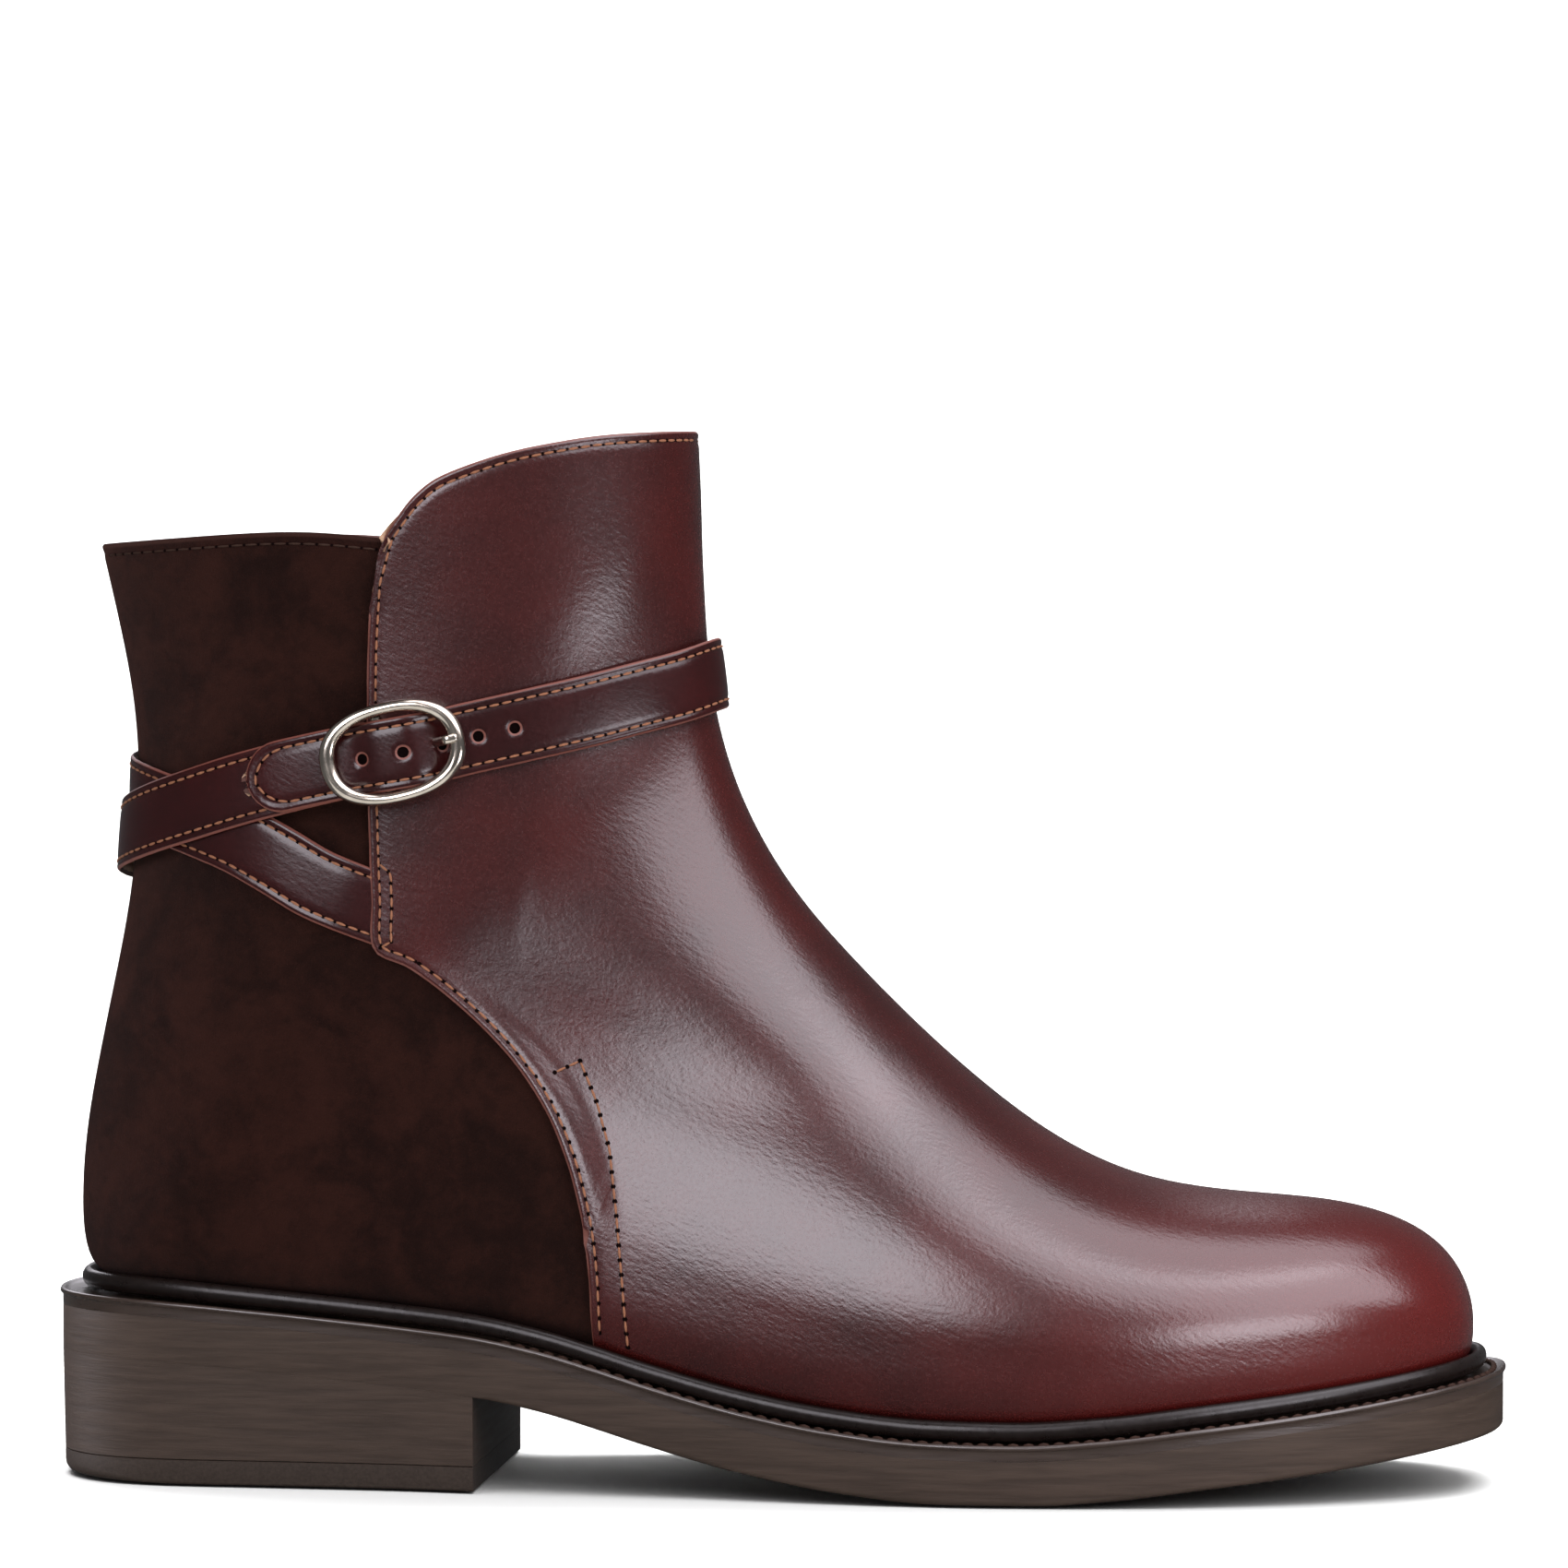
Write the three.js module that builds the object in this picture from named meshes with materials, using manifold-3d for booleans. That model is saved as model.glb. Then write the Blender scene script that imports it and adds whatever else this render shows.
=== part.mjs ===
// Right ankle boot: a leather vamp over a suede quarter, a strap wrapped round the ankle, a low block heel.
// Millimetres, +X to the toe, -Y to the outer side of the foot, +Z up, origin on the floor under the middle.
import * as THREE from 'three';
import { mergeVertices } from 'three/addons/utils/BufferGeometryUtils.js';
import Module from 'manifold-3d';

const wasm = await Module();
wasm.setup();

// Driving sizes of the last and the shell
const soleLength = 276;
const upperWidth = 85;
const ankleWidth = 56;
const frontHeight = 198.6;
const backHeight = 178;
const shellWall = 2.2;
const vampLeather = 1.2;
const lastingMargin = 12;

// Driving sizes of the sole
const heelSeat = 35.3;
const forefootSeat = 11.2;
const toeSpring = 10.8;
const soleThickness = 11.4;
const weltThickness = 3;
const weltMargin = 6.4;
const weltTuck = 7;
const randHeight = 3.9;
const randThickness = 3;
const heelLength = 84.4;
const heelTaper = 0.4;
const topPieceThickness = 4.6;
const insoleThickness = 2.4;
const edgeInset = 0.5;
const edgeRound = 0.7;

// Driving sizes of the straps and the buckle
const strapWidth = 13.5;
const strapLeather = 1.3;
const buckleLength = 27.5;
const buckleHeight = 19;
const wireWidth = 3;
const wireThickness = 2.4;
const barDiameter = 2.2;
const prongWidth = 1.8;
const prongThickness = 1.5;
const strapChamfer = 0.92;

// Clearances between pieces that touch
const gap = 0.3;
const strapGap = 0.5;
const randGap = 0.65;

// Fineness of the curved forms
const sectionCount = 32;
const aroundCount = 26;
const outlineCount = 80;
const plateStations = 32;
const heelStations = 16;
const wrapStations = 68;
const buckleStations = 40;
const frameSides = 32;

const degree = Math.PI / 180;

function table(columns, rows) {
  return rows.map((row) => Object.fromEntries(columns.map((name, i) => [name, row[i]])));
}

// Height of the welt's top above the floor: arch is a share of the drop from heel to ball,
// spring a share of the toe spring
const seatRows = table(['along', 'arch', 'spring'], [
  [0.000, 1.000, 0.00],
  [0.072, 0.975, 0.00],
  [0.156, 0.905, 0.00],
  [0.254, 0.805, 0.00],
  [0.304, 0.745, 0.00],
  [0.352, 0.640, 0.00],
  [0.391, 0.515, 0.00],
  [0.424, 0.400, 0.00],
  [0.489, 0.207, 0.00],
  [0.551, 0.083, 0.00],
  [0.616, 0.012, 0.00],
  [0.675, 0.000, 0.00],
  [0.735, 0.000, 0.09],
  [0.797, 0.000, 0.27],
  [0.859, 0.000, 0.45],
  [0.920, 0.000, 0.66],
  [0.982, 0.000, 0.91],
  [1.030, 0.000, 1.12],
]);

// Sections of the last, fanned from the toe tip over the instep to the collar. low and high are where the
// section leaves the sole or the back of the heel and meets the ridge, belly is where it is widest
const lastRows = table(
  ['lowX', 'lowZ', 'highX', 'highZ', 'centre', 'outer', 'inner', 'ankle', 'belly', 'lowBend', 'highBend'], [
  [0.9745, 0.143, 0.9745, 0.143, 0.055, 0.000, 0.000, 0.000, 0.50, 2.2, 2.1],
  [0.9725, 0.118, 0.9735, 0.172, 0.055, 0.122, 0.122, 0.000, 0.50, 2.6, 2.1],
  [0.9580, 0.106, 0.9610, 0.210, 0.055, 0.222, 0.222, 0.000, 0.46, 3.4, 2.1],
  [0.9250, 0.096, 0.9320, 0.241, 0.050, 0.318, 0.318, 0.000, 0.42, 4.2, 2.1],
  [0.8750, 0.085, 0.8810, 0.260, 0.044, 0.400, 0.395, 0.000, 0.39, 4.8, 2.1],
  [0.8100, 0.075, 0.8150, 0.264, 0.036, 0.472, 0.456, 0.000, 0.36, 5.0, 2.1],
  [0.7400, 0.064, 0.7470, 0.277, 0.026, 0.514, 0.486, 0.000, 0.34, 5.0, 2.1],
  [0.6650, 0.057, 0.6870, 0.318, 0.016, 0.528, 0.486, 0.000, 0.32, 5.0, 2.0],
  [0.5870, 0.061, 0.6355, 0.374, 0.008, 0.514, 0.456, 0.000, 0.29, 5.0, 1.9],
  [0.5070, 0.078, 0.5910, 0.430, 0.004, 0.476, 0.420, 0.000, 0.27, 5.0, 1.85],
  [0.4240, 0.107, 0.5500, 0.488, 0.000, 0.436, 0.386, 0.000, 0.26, 5.2, 1.85],
  [0.3330, 0.144, 0.5140, 0.543, 0.000, 0.402, 0.364, 0.000, 0.26, 5.4, 1.9],
  [0.2390, 0.162, 0.4865, 0.600, 0.000, 0.372, 0.352, 0.000, 0.27, 5.6, 1.95],
  [0.1490, 0.172, 0.4660, 0.660, 0.000, 0.236, 0.232, 0.180, 0.29, 5.4, 2.0],
  [0.0450, 0.178, 0.4545, 0.716, 0.000, 0.118, 0.118, 0.350, 0.31, 3.5, 2.0],
  [0.0180, 0.200, 0.4490, 0.760, 0.000, 0.000, 0.000, 0.530, 0.35, 2.3, 2.0],
  [0.0150, 0.258, 0.4465, 0.797, 0.000, 0.000, 0.000, 0.520, 0.39, 2.2, 2.0],
  [0.0180, 0.325, 0.4450, 0.829, 0.000, 0.000, 0.000, 0.512, 0.42, 2.2, 2.0],
  [0.0270, 0.394, 0.4440, 0.858, 0.000, 0.000, 0.000, 0.506, 0.44, 2.2, 2.0],
  [0.0375, 0.464, 0.4430, 0.886, 0.000, 0.000, 0.000, 0.502, 0.46, 2.2, 2.05],
  [0.0480, 0.534, 0.4425, 0.914, 0.000, 0.000, 0.000, 0.500, 0.47, 2.2, 2.1],
  [0.0545, 0.604, 0.4420, 0.941, 0.000, 0.000, 0.000, 0.500, 0.48, 2.2, 2.1],
  [0.0565, 0.674, 0.4410, 0.969, 0.000, 0.000, 0.000, 0.503, 0.49, 2.2, 2.1],
  [0.0530, 0.744, 0.4400, 0.997, 0.000, 0.000, 0.000, 0.510, 0.50, 2.2, 2.1],
  [0.0430, 0.814, 0.4395, 1.024, 0.000, 0.000, 0.000, 0.520, 0.50, 2.2, 2.1],
  [0.0310, 0.885, 0.4395, 1.052, 0.000, 0.000, 0.000, 0.530, 0.50, 2.2, 2.1],
  [0.0195, 0.955, 0.4395, 1.080, 0.000, 0.000, 0.000, 0.540, 0.50, 2.2, 2.1],
  [0.0080, 1.030, 0.4395, 1.110, 0.000, 0.000, 0.000, 0.550, 0.50, 2.2, 2.1],
]);
const lastEnd = lastRows.length - 2;

// Heights in the tables are shares of the front height, and the heel seat stays where it is when that changes
const seatShare = 0.1777;

function rise(share) {
  return heelSeat + ((share - seatShare) * (frontHeight - heelSeat)) / (1 - seatShare);
}

// The welt's ledge round the upper, as a share of the full margin
const marginRows = table(['along', 'share'], [
  [-0.10, 1.17],
  [0.02, 1.17],
  [0.16, 0.80],
  [0.40, 0.72],
  [0.64, 0.92],
  [0.85, 1.00],
  [0.97, 1.08],
  [1.10, 1.08],
]);

// Smooth curve through the rows of a table, read at a value of its first column
function readRows(rows, key, column, at) {
  let i = 0;
  while (i < rows.length - 2 && rows[i + 1][key] < at) i += 1;
  const slope = (a, b) => (rows[b][column] - rows[a][column]) / (rows[b][key] - rows[a][key]);
  const step = rows[i + 1][key] - rows[i][key];
  const t = Math.min(1, Math.max(0, (at - rows[i][key]) / step));
  const here = slope(i, i + 1);
  const limit = (other) => (here * other <= 0 ? 0 : (2 * here * other) / (here + other));
  const start = i > 0 ? limit(slope(i - 1, i)) : here;
  const end = i < rows.length - 2 ? limit(slope(i + 1, i + 2)) : here;
  const a = rows[i][column];
  const b = rows[i + 1][column];
  const bend = (2 * t ** 3 - 3 * t ** 2 + 1) * a + (3 * t ** 2 - 2 * t ** 3) * b;
  return bend + (t ** 3 - 2 * t ** 2 + t) * step * start + (t ** 3 - t ** 2) * step * end;
}

// Heights of the sole along the shoe, x measured from the back of the heel
function seat(x) {
  const along = x / soleLength;
  const arch = readRows(seatRows, 'along', 'arch', along);
  const spring = readRows(seatRows, 'along', 'spring', along);
  return forefootSeat + arch * (heelSeat - forefootSeat) + spring * toeSpring;
}

function underside(x) {
  return Math.max(0, seat(x) - soleThickness);
}

// One section of the last at a place between its rows, by a uniform cubic spline that closes at the toe tip
function lastSection(place) {
  const at = Math.min(lastEnd - 1e-6, Math.max(0, place));
  const i = Math.floor(at);
  const t = at - i;
  const weights = [(1 - t) ** 3, 3 * t ** 3 - 6 * t ** 2 + 4, -3 * t ** 3 + 3 * t ** 2 + 3 * t + 1, t ** 3];
  const mirror = { ...lastRows[1] };
  mirror.lowX = lastRows[1].highX;
  mirror.lowZ = lastRows[1].highZ;
  mirror.highX = lastRows[1].lowX;
  mirror.highZ = lastRows[1].lowZ;
  mirror.outer = -lastRows[1].outer;
  mirror.inner = -lastRows[1].inner;
  const near = [i > 0 ? lastRows[i - 1] : mirror, lastRows[i], lastRows[i + 1], lastRows[i + 2]];
  const read = (column) => near.reduce((sum, row, k) => sum + row[column] * weights[k] / 6, 0);
  const lowX = read('lowX') * soleLength;
  const bellyWidth = read('ankle') * ankleWidth;
  return {
    lowX,
    lowZ: Math.max(rise(read('lowZ')), seat(lowX) + gap),
    highX: read('highX') * soleLength,
    highZ: rise(read('highZ')),
    centre: read('centre') * upperWidth,
    outer: read('outer') * upperWidth + bellyWidth,
    inner: read('inner') * upperWidth + bellyWidth,
    belly: read('belly'),
    lowBend: read('lowBend'),
    highBend: read('highBend'),
  };
}

// A point on the last: turn runs round the section from the ridge (0), outer side negative, to the back (180)
function lastPoint(place, turn) {
  const section = lastSection(place);
  const c = Math.cos(turn * degree);
  const s = Math.sin(turn * degree);
  const power = 2 / (c > 0 ? section.highBend : section.lowBend);
  const reach = Math.abs(c) ** power;
  const share = c > 0 ? section.belly + (1 - section.belly) * reach : section.belly * (1 - reach);
  const half = s < 0 ? -section.outer : section.inner;
  return new THREE.Vector3(
    section.lowX + share * (section.highX - section.lowX),
    section.centre + half * Math.abs(s) ** power,
    section.lowZ + share * (section.highZ - section.lowZ),
  );
}

function lastNormal(place, turn) {
  const step = 0.02;
  const along = lastPoint(place + step, turn).sub(lastPoint(Math.max(0.001, place - step), turn));
  const round = lastPoint(place, turn + 1).sub(lastPoint(place, turn - 1));
  return round.cross(along).normalize();
}

function skinPoint(place, turn, offset) {
  return lastPoint(place, turn).addScaledVector(lastNormal(place, turn), offset);
}

// Closed body from loose corners and faces, with the shared corners merged and flat faces dropped
function bodyOf(corners, faces) {
  const loose = new THREE.BufferGeometry();
  const positions = corners.flatMap((p) => [p.x, p.y, p.z]);
  loose.setAttribute('position', new THREE.Float32BufferAttribute(positions, 3));
  loose.setIndex(faces.flat());
  return solidOf(loose);
}

function solidOf(geometry) {
  const bare = geometry.clone();
  bare.deleteAttribute('normal');
  bare.deleteAttribute('uv');
  const merged = mergeVertices(bare, 1e-3);
  const index = merged.index.array;
  const kept = [];
  for (let i = 0; i < index.length; i += 3) {
    const [a, b, c] = [index[i], index[i + 1], index[i + 2]];
    if (a !== b && b !== c && c !== a) kept.push(a, b, c);
  }
  const vertProperties = new Float32Array(merged.attributes.position.array);
  if (signedVolume(vertProperties, kept) < 0) kept.reverse();
  return new wasm.Manifold(new wasm.Mesh({ numProp: 3, vertProperties, triVerts: new Uint32Array(kept) }));
}

function signedVolume(positions, index) {
  const corner = (i) => new THREE.Vector3().fromArray(positions, 3 * index[i]);
  let sum = 0;
  for (let i = 0; i < index.length; i += 3) sum += corner(i).dot(corner(i + 1).cross(corner(i + 2)));
  return sum / 6;
}

// Rings of equal count joined into a wall
function wallFaces(ringCount, pointCount, closedRows = false) {
  const faces = [];
  const rows = closedRows ? ringCount : ringCount - 1;
  for (let r = 0; r < rows; r += 1) {
    const next = (r + 1) % ringCount;
    for (let k = 0; k < pointCount; k += 1) {
      const m = (k + 1) % pointCount;
      faces.push([r * pointCount + k, r * pointCount + m, next * pointCount + m]);
      faces.push([r * pointCount + k, next * pointCount + m, next * pointCount + k]);
    }
  }
  return faces;
}

// The last grown or shrunk by an offset, from the toe tip to above the collar
function lastBody(offset) {
  const corners = [];
  for (let i = 0; i <= sectionCount; i += 1) {
    const place = (i / sectionCount) * (lastEnd - 0.01);
    for (let k = 0; k < aroundCount; k += 1) {
      const turn = (k / aroundCount) * 360;
      const tip = new THREE.Vector3(offset, 0, 0).add(lastPoint(0, 0));
      corners.push(i === 0 ? tip : skinPoint(place, turn, offset));
    }
  }
  const faces = wallFaces(sectionCount + 1, aroundCount);
  const top = sectionCount * aroundCount;
  for (let k = 1; k < aroundCount - 1; k += 1) faces.push([top, top + k, top + k + 1]);
  return bodyOf(corners, faces);
}

// A side-view outline carried right across the shoe
function acrossBody(outline) {
  const shape = new THREE.Shape(outline.map(([x, z]) => new THREE.Vector2(x, z)));
  const depth = 3 * upperWidth;
  const geometry = new THREE.ExtrudeGeometry(shape, { depth, bevelEnabled: false, steps: 1 });
  geometry.rotateX(Math.PI / 2);
  geometry.translate(0, depth / 2, 0);
  return solidOf(geometry);
}

function curveThrough(points, count) {
  const curve = new THREE.SplineCurve(points.map(([x, z]) => new THREE.Vector2(x, z)));
  return curve.getPoints(count).map((p) => [p.x, p.y]);
}

// The sole line seen from the side, lifted by a clearance, from one x to another
function seatLine(fromX, toX, lift, count = 44) {
  return Array.from({ length: count + 1 }, (_, i) => {
    const x = fromX + ((toX - fromX) * i) / count;
    return [x, seat(x) + lift];
  });
}

// The collar seen from the side: level over the quarter, then the raised flap of the vamp
const flapBack = 0.2425 * soleLength;
const flapFront = 0.452 * soleLength;
const flapRise = frontHeight - backHeight;
const quarterEdge = curveThrough([
  [-0.08 * soleLength, backHeight - 2],
  [0.03 * soleLength, backHeight - 1],
  [0.17 * soleLength, backHeight + 1.2],
  [flapBack, backHeight],
], 10);
const flapEdge = curveThrough([
  [0.000, 0.000], [0.048, 0.194], [0.105, 0.390], [0.193, 0.568],
  [0.380, 0.760], [0.558, 0.874], [0.737, 0.950], [1.000, 1.000],
].map(([along, rise]) => [flapBack + along * (flapFront - flapBack), backHeight + rise * flapRise]), 16);
const wearLine = [...quarterEdge, ...flapEdge.slice(1)];
const shellOutline = [
  ...seatLine(-0.1 * soleLength, 1.05 * soleLength, gap),
  [1.05 * soleLength, frontHeight - 1],
  ...wearLine.reverse(),
];

// The back edge of the vamp seen from the side, from the flap down to the welt
const vampBack = [
  [0.2425, 0.900], [0.2345, 0.855], [0.2315, 0.790], [0.2310, 0.700], [0.2325, 0.610], [0.2340, 0.555],
].map(([x, z]) => [x * soleLength, rise(z)]);
const vampSweep = [
  [0.2360, 0.508], [0.2610, 0.490], [0.2960, 0.453], [0.3290, 0.408], [0.3535, 0.360], [0.3690, 0.312],
  [0.3795, 0.260], [0.3850, 0.205], [0.3870, 0.140],
].map(([x, z]) => [x * soleLength, rise(z)]);
const vampOutline = [
  ...seatLine(0.387 * soleLength, 1.06 * soleLength, 2 * gap),
  [1.06 * soleLength, frontHeight],
  ...flapEdge.slice().reverse(),
  ...curveThrough(vampBack, 8).slice(1),
  ...curveThrough(vampSweep, 16),
];

function smoothStep(from, to, at) {
  const t = Math.min(1, Math.max(0, (at - from) / (to - from)));
  return t * t * (3 - 2 * t);
}

// Outline of the upper seen from above where it meets the top of the rand
function footprintSide(side) {
  const points = [];
  for (let place = 0.05; place < 17; place += 0.1) {
    const depthAt = (turn) => {
      const p = lastPoint(place, turn * side);
      return p.z - seat(p.x) - randHeight;
    };
    let low = 180;
    let high = 90;
    if (depthAt(high) <= 0 || depthAt(low) >= 0) continue;
    for (let i = 0; i < 30; i += 1) {
      const middle = (low + high) / 2;
      if (depthAt(middle) > 0) high = middle;
      else low = middle;
    }
    const p = lastPoint(place, high * side);
    points.push(new THREE.Vector2(p.x, p.y));
  }
  return points;
}

function endPoint(from, to) {
  const depthAt = (place) => {
    const p = lastPoint(place, 180);
    return p.z - seat(p.x) - randHeight;
  };
  let high = from;
  let low = to;
  for (let i = 0; i < 30; i += 1) {
    const middle = (low + high) / 2;
    if (depthAt(middle) > 0) high = middle;
    else low = middle;
  }
  const p = lastPoint(high, 180);
  return new THREE.Vector2(p.x, p.y);
}

function evenLoop(points, count) {
  const lengths = [0];
  for (let i = 1; i <= points.length; i += 1) {
    lengths.push(lengths[i - 1] + points[i % points.length].distanceTo(points[i - 1]));
  }
  const total = lengths[points.length];
  let i = 0;
  return Array.from({ length: count }, (_, k) => {
    const at = (total * k) / count;
    while (lengths[i + 1] < at) i += 1;
    const t = (at - lengths[i]) / (lengths[i + 1] - lengths[i]);
    return points[i].clone().lerp(points[(i + 1) % points.length], t);
  });
}

function smoothLoop(points, rounds) {
  let loop = points;
  for (let r = 0; r < rounds; r += 1) {
    loop = loop.map((p, i) => {
      const before = loop[(i + loop.length - 1) % loop.length];
      const after = loop[(i + 1) % loop.length];
      return p.clone().multiplyScalar(0.5).addScaledVector(before, 0.25).addScaledVector(after, 0.25);
    });
  }
  return loop;
}

// Heel end, inner side to the toe, toe end and back along the outer side: clockwise seen from above
const fineLoop = smoothLoop(evenLoop([
  endPoint(20, 12),
  ...footprintSide(1).reverse(),
  endPoint(0, 3),
  ...footprintSide(-1),
], 480), 6);

function moveLoop(loop, distanceAt) {
  return loop.map((p, i) => {
    const before = loop[(i + loop.length - 1) % loop.length];
    const after = loop[(i + 1) % loop.length];
    const along = after.clone().sub(before).normalize();
    return new THREE.Vector2(-along.y, along.x).multiplyScalar(distanceAt(p.x)).add(p);
  });
}

// Where the rand touches the upper: the vamp leather lies over the last in front of the quarter
function vampLift(x) {
  return (vampLeather + gap) * smoothStep(0.24 * soleLength, 0.37 * soleLength, x);
}

function marginAt(x) {
  return weltMargin * readRows(marginRows, 'along', 'share', x / soleLength);
}

const upperLoop = moveLoop(fineLoop, vampLift);
const soleLoop = evenLoop(moveLoop(upperLoop, marginAt), 480);
const bandLoop = evenLoop(upperLoop, outlineCount);

// One side of a loop from the heel end to the toe end or to a given x
function sideOf(loop, side, toX = Infinity) {
  const heel = loop.reduce((best, p, i) => (p.x < loop[best].x ? i : best), 0);
  const toe = loop.reduce((best, p, i) => (p.x > loop[best].x ? i : best), 0);
  const points = [];
  for (let i = heel; ; i = (i + loop.length + side) % loop.length) {
    points.push(loop[i]);
    if (i === toe) break;
  }
  const last = points.findIndex((p) => p.x > toX);
  if (last < 0) return points;
  const [a, b] = [points[last - 1], points[last]];
  return [...points.slice(0, last), a.clone().lerp(b, (toX - a.x) / (b.x - a.x))];
}

function evenPath(points, count) {
  const lengths = [0];
  for (let i = 1; i < points.length; i += 1) lengths.push(lengths[i - 1] + points[i].distanceTo(points[i - 1]));
  let i = 0;
  return Array.from({ length: count + 1 }, (_, k) => {
    const at = (lengths[points.length - 1] * k) / count;
    while (i < points.length - 2 && lengths[i + 1] < at) i += 1;
    const t = Math.min(1, (at - lengths[i]) / (lengths[i + 1] - lengths[i]));
    return points[i].clone().lerp(points[i + 1], t);
  });
}

// A plate that follows a loop in plan: layers from the bottom up, each with its inset and its height along x
function plateBody(loop, layers, toX = Infinity, count = plateStations) {
  const sides = (inset) => {
    const moved = moveLoop(loop, () => -inset);
    return [1, -1].map((side) => evenPath(sideOf(moved, side, toX), count));
  };
  const corners = [];
  for (const layer of layers) {
    const [left, right] = sides(layer.inset);
    const lift = (p) => new THREE.Vector3(p.x, p.y, layer.height(p.x));
    corners.push(...left.map(lift), ...right.reverse().map(lift));
  }
  const ring = 2 * (count + 1);
  const faces = wallFaces(layers.length, ring);
  const top = (layers.length - 1) * ring;
  for (let i = 0; i < count; i += 1) {
    const [a, b, c, d] = [i, i + 1, ring - 2 - i, ring - 1 - i];
    faces.push([a, c, b], [a, d, c]);
    faces.push([top + a, top + b, top + c], [top + a, top + c, top + d]);
  }
  return bodyOf(corners, faces);
}

// A band swept round a closed loop: each corner of its section has a distance out from the loop and a height
function bandBody(loop, section) {
  const rings = section.map(({ out, height }) => moveLoop(loop, out)
    .map((p) => new THREE.Vector3(p.x, p.y, seat(p.x) + height)));
  return bodyOf(rings.flat(), wallFaces(rings.length, loop.length, true));
}

// Sole pieces
const weltSection = [
  { out: () => -weltTuck, height: 0 },
  { out: () => -weltTuck, height: -weltThickness },
  { out: marginAt, height: -weltThickness },
  { out: marginAt, height: -edgeRound },
  { out: (x) => marginAt(x) - edgeRound, height: 0 },
];
const randSection = [
  { out: () => randGap, height: gap },
  { out: () => randThickness, height: gap },
  { out: () => randThickness + gap, height: 0.5 * randHeight },
  { out: () => 0.75 * randThickness, height: 0.95 * randHeight },
  { out: () => 0.4 * randThickness + gap, height: randHeight },
  { out: () => randGap, height: 0.9 * randHeight },
];

function soleTopHeight(x) {
  return seat(x) - weltThickness - gap;
}

function makeOutsole() {
  return plateBody(soleLoop, [
    { inset: edgeInset + edgeRound, height: underside },
    { inset: edgeInset, height: (x) => underside(x) + edgeRound },
    { inset: edgeInset, height: soleTopHeight },
  ]);
}

function heelTop(x) {
  return underside(x) - gap;
}

function makeHeelStack() {
  return plateBody(soleLoop, [
    { inset: edgeInset + heelTaper, height: () => topPieceThickness + gap },
    { inset: edgeInset, height: heelTop },
  ], heelLength, heelStations);
}

function makeTopPiece() {
  const inset = edgeInset + heelTaper;
  return plateBody(soleLoop, [
    { inset: inset + edgeRound, height: () => 0 },
    { inset, height: () => edgeRound },
    { inset, height: () => topPieceThickness },
  ], heelLength, heelStations);
}

// Upper pieces
function makeShell() {
  const open = plateBody(fineLoop, [
    { inset: lastingMargin, height: (x) => underside(x) },
    { inset: lastingMargin, height: (x) => seat(x) + 2 * shellWall },
  ]);
  return lastBody(0).intersect(acrossBody(shellOutline)).subtract(lastBody(-shellWall)).subtract(open);
}

function makeVamp() {
  return lastBody(gap + vampLeather).subtract(lastBody(gap)).intersect(acrossBody(vampOutline));
}

function makeInsole() {
  const bottom = gap + shellWall + gap;
  const plate = plateBody(fineLoop, [
    { inset: 1, height: (x) => seat(x) + bottom },
    { inset: 1, height: (x) => seat(x) + bottom + insoleThickness },
  ]);
  return plate.intersect(lastBody(-shellWall - gap));
}

// Layers that a strap passes over, each with the clearance to the next one
const vampLayer = vampLeather + gap;
const strapLayer = strapLeather + gap;
const frameSink = 0.35;
const barLift = vampLayer + 2 * gap + 0.65 * barDiameter;
const barLayer = barLift + 0.5 * barDiameter + 2 * gap - strapGap - vampLayer;
const frameLift = strapGap + 3 * strapLayer + 0.5 * wireThickness - frameSink;

// Strap routes on the shaft: turn as on the last (0 front, -90 outer side, -180 back, -270 inner side), height
// as a share of the front, and what lies under the strap there
const strapColumns = ['turn', 'height', 'overVamp', 'overStrap', 'overBar'];
const wrapRows = table(strapColumns, [
  [-76.0, 0.5430, 0.0, 0.0, 0.0],
  [-92.0, 0.5690, 0.0, 0.0, 0.0],
  [-105.0, 0.5930, 0.0, 0.0, 0.0],
  [-119.0, 0.6150, 0.0, 0.0, 0.0],
  [-139.0, 0.6350, 0.0, 0.0, 0.0],
  [-160.0, 0.6490, 0.0, 0.0, 0.0],
  [-180.0, 0.6570, 0.0, 0.0, 0.0],
  [-205.0, 0.6630, 0.0, 0.0, 0.0],
  [-230.0, 0.6740, 0.0, 0.0, 0.0],
  [-255.0, 0.6910, 0.1, 0.0, 0.0],
  [-266.0, 0.7000, 1.0, 0.0, 0.0],
  [-290.0, 0.7210, 1.0, 0.0, 0.0],
  [-310.0, 0.7380, 1.0, 0.0, 0.0],
  [-335.0, 0.7560, 1.3, 0.0, 0.0],
  [-360.0, 0.7660, 1.8, 0.0, 0.0],
  [-385.0, 0.7510, 1.4, 0.0, 0.0],
  [-408.0, 0.7290, 1.0, 0.0, 0.0],
  [-422.0, 0.7150, 1.0, 0.0, 0.0],
  [-429.0, 0.7080, 1.0, 0.0, 0.0],
  [-433.5, 0.7030, 1.0, 0.0, 0.1],
  [-438.0, 0.6990, 1.0, 0.0, 0.7],
  [-441.0, 0.6962, 1.0, 0.0, 1.0],
  [-445.5, 0.6920, 1.0, 0.0, 1.0],
  [-452.0, 0.6860, 0.2, 1.7, 0.05],
  [-458.0, 0.6800, 0.0, 2.0, 0.0],
  [-466.0, 0.6720, 0.0, 2.0, 0.0],
  [-474.5, 0.6630, 0.0, 2.0, 0.0],
]);
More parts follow.
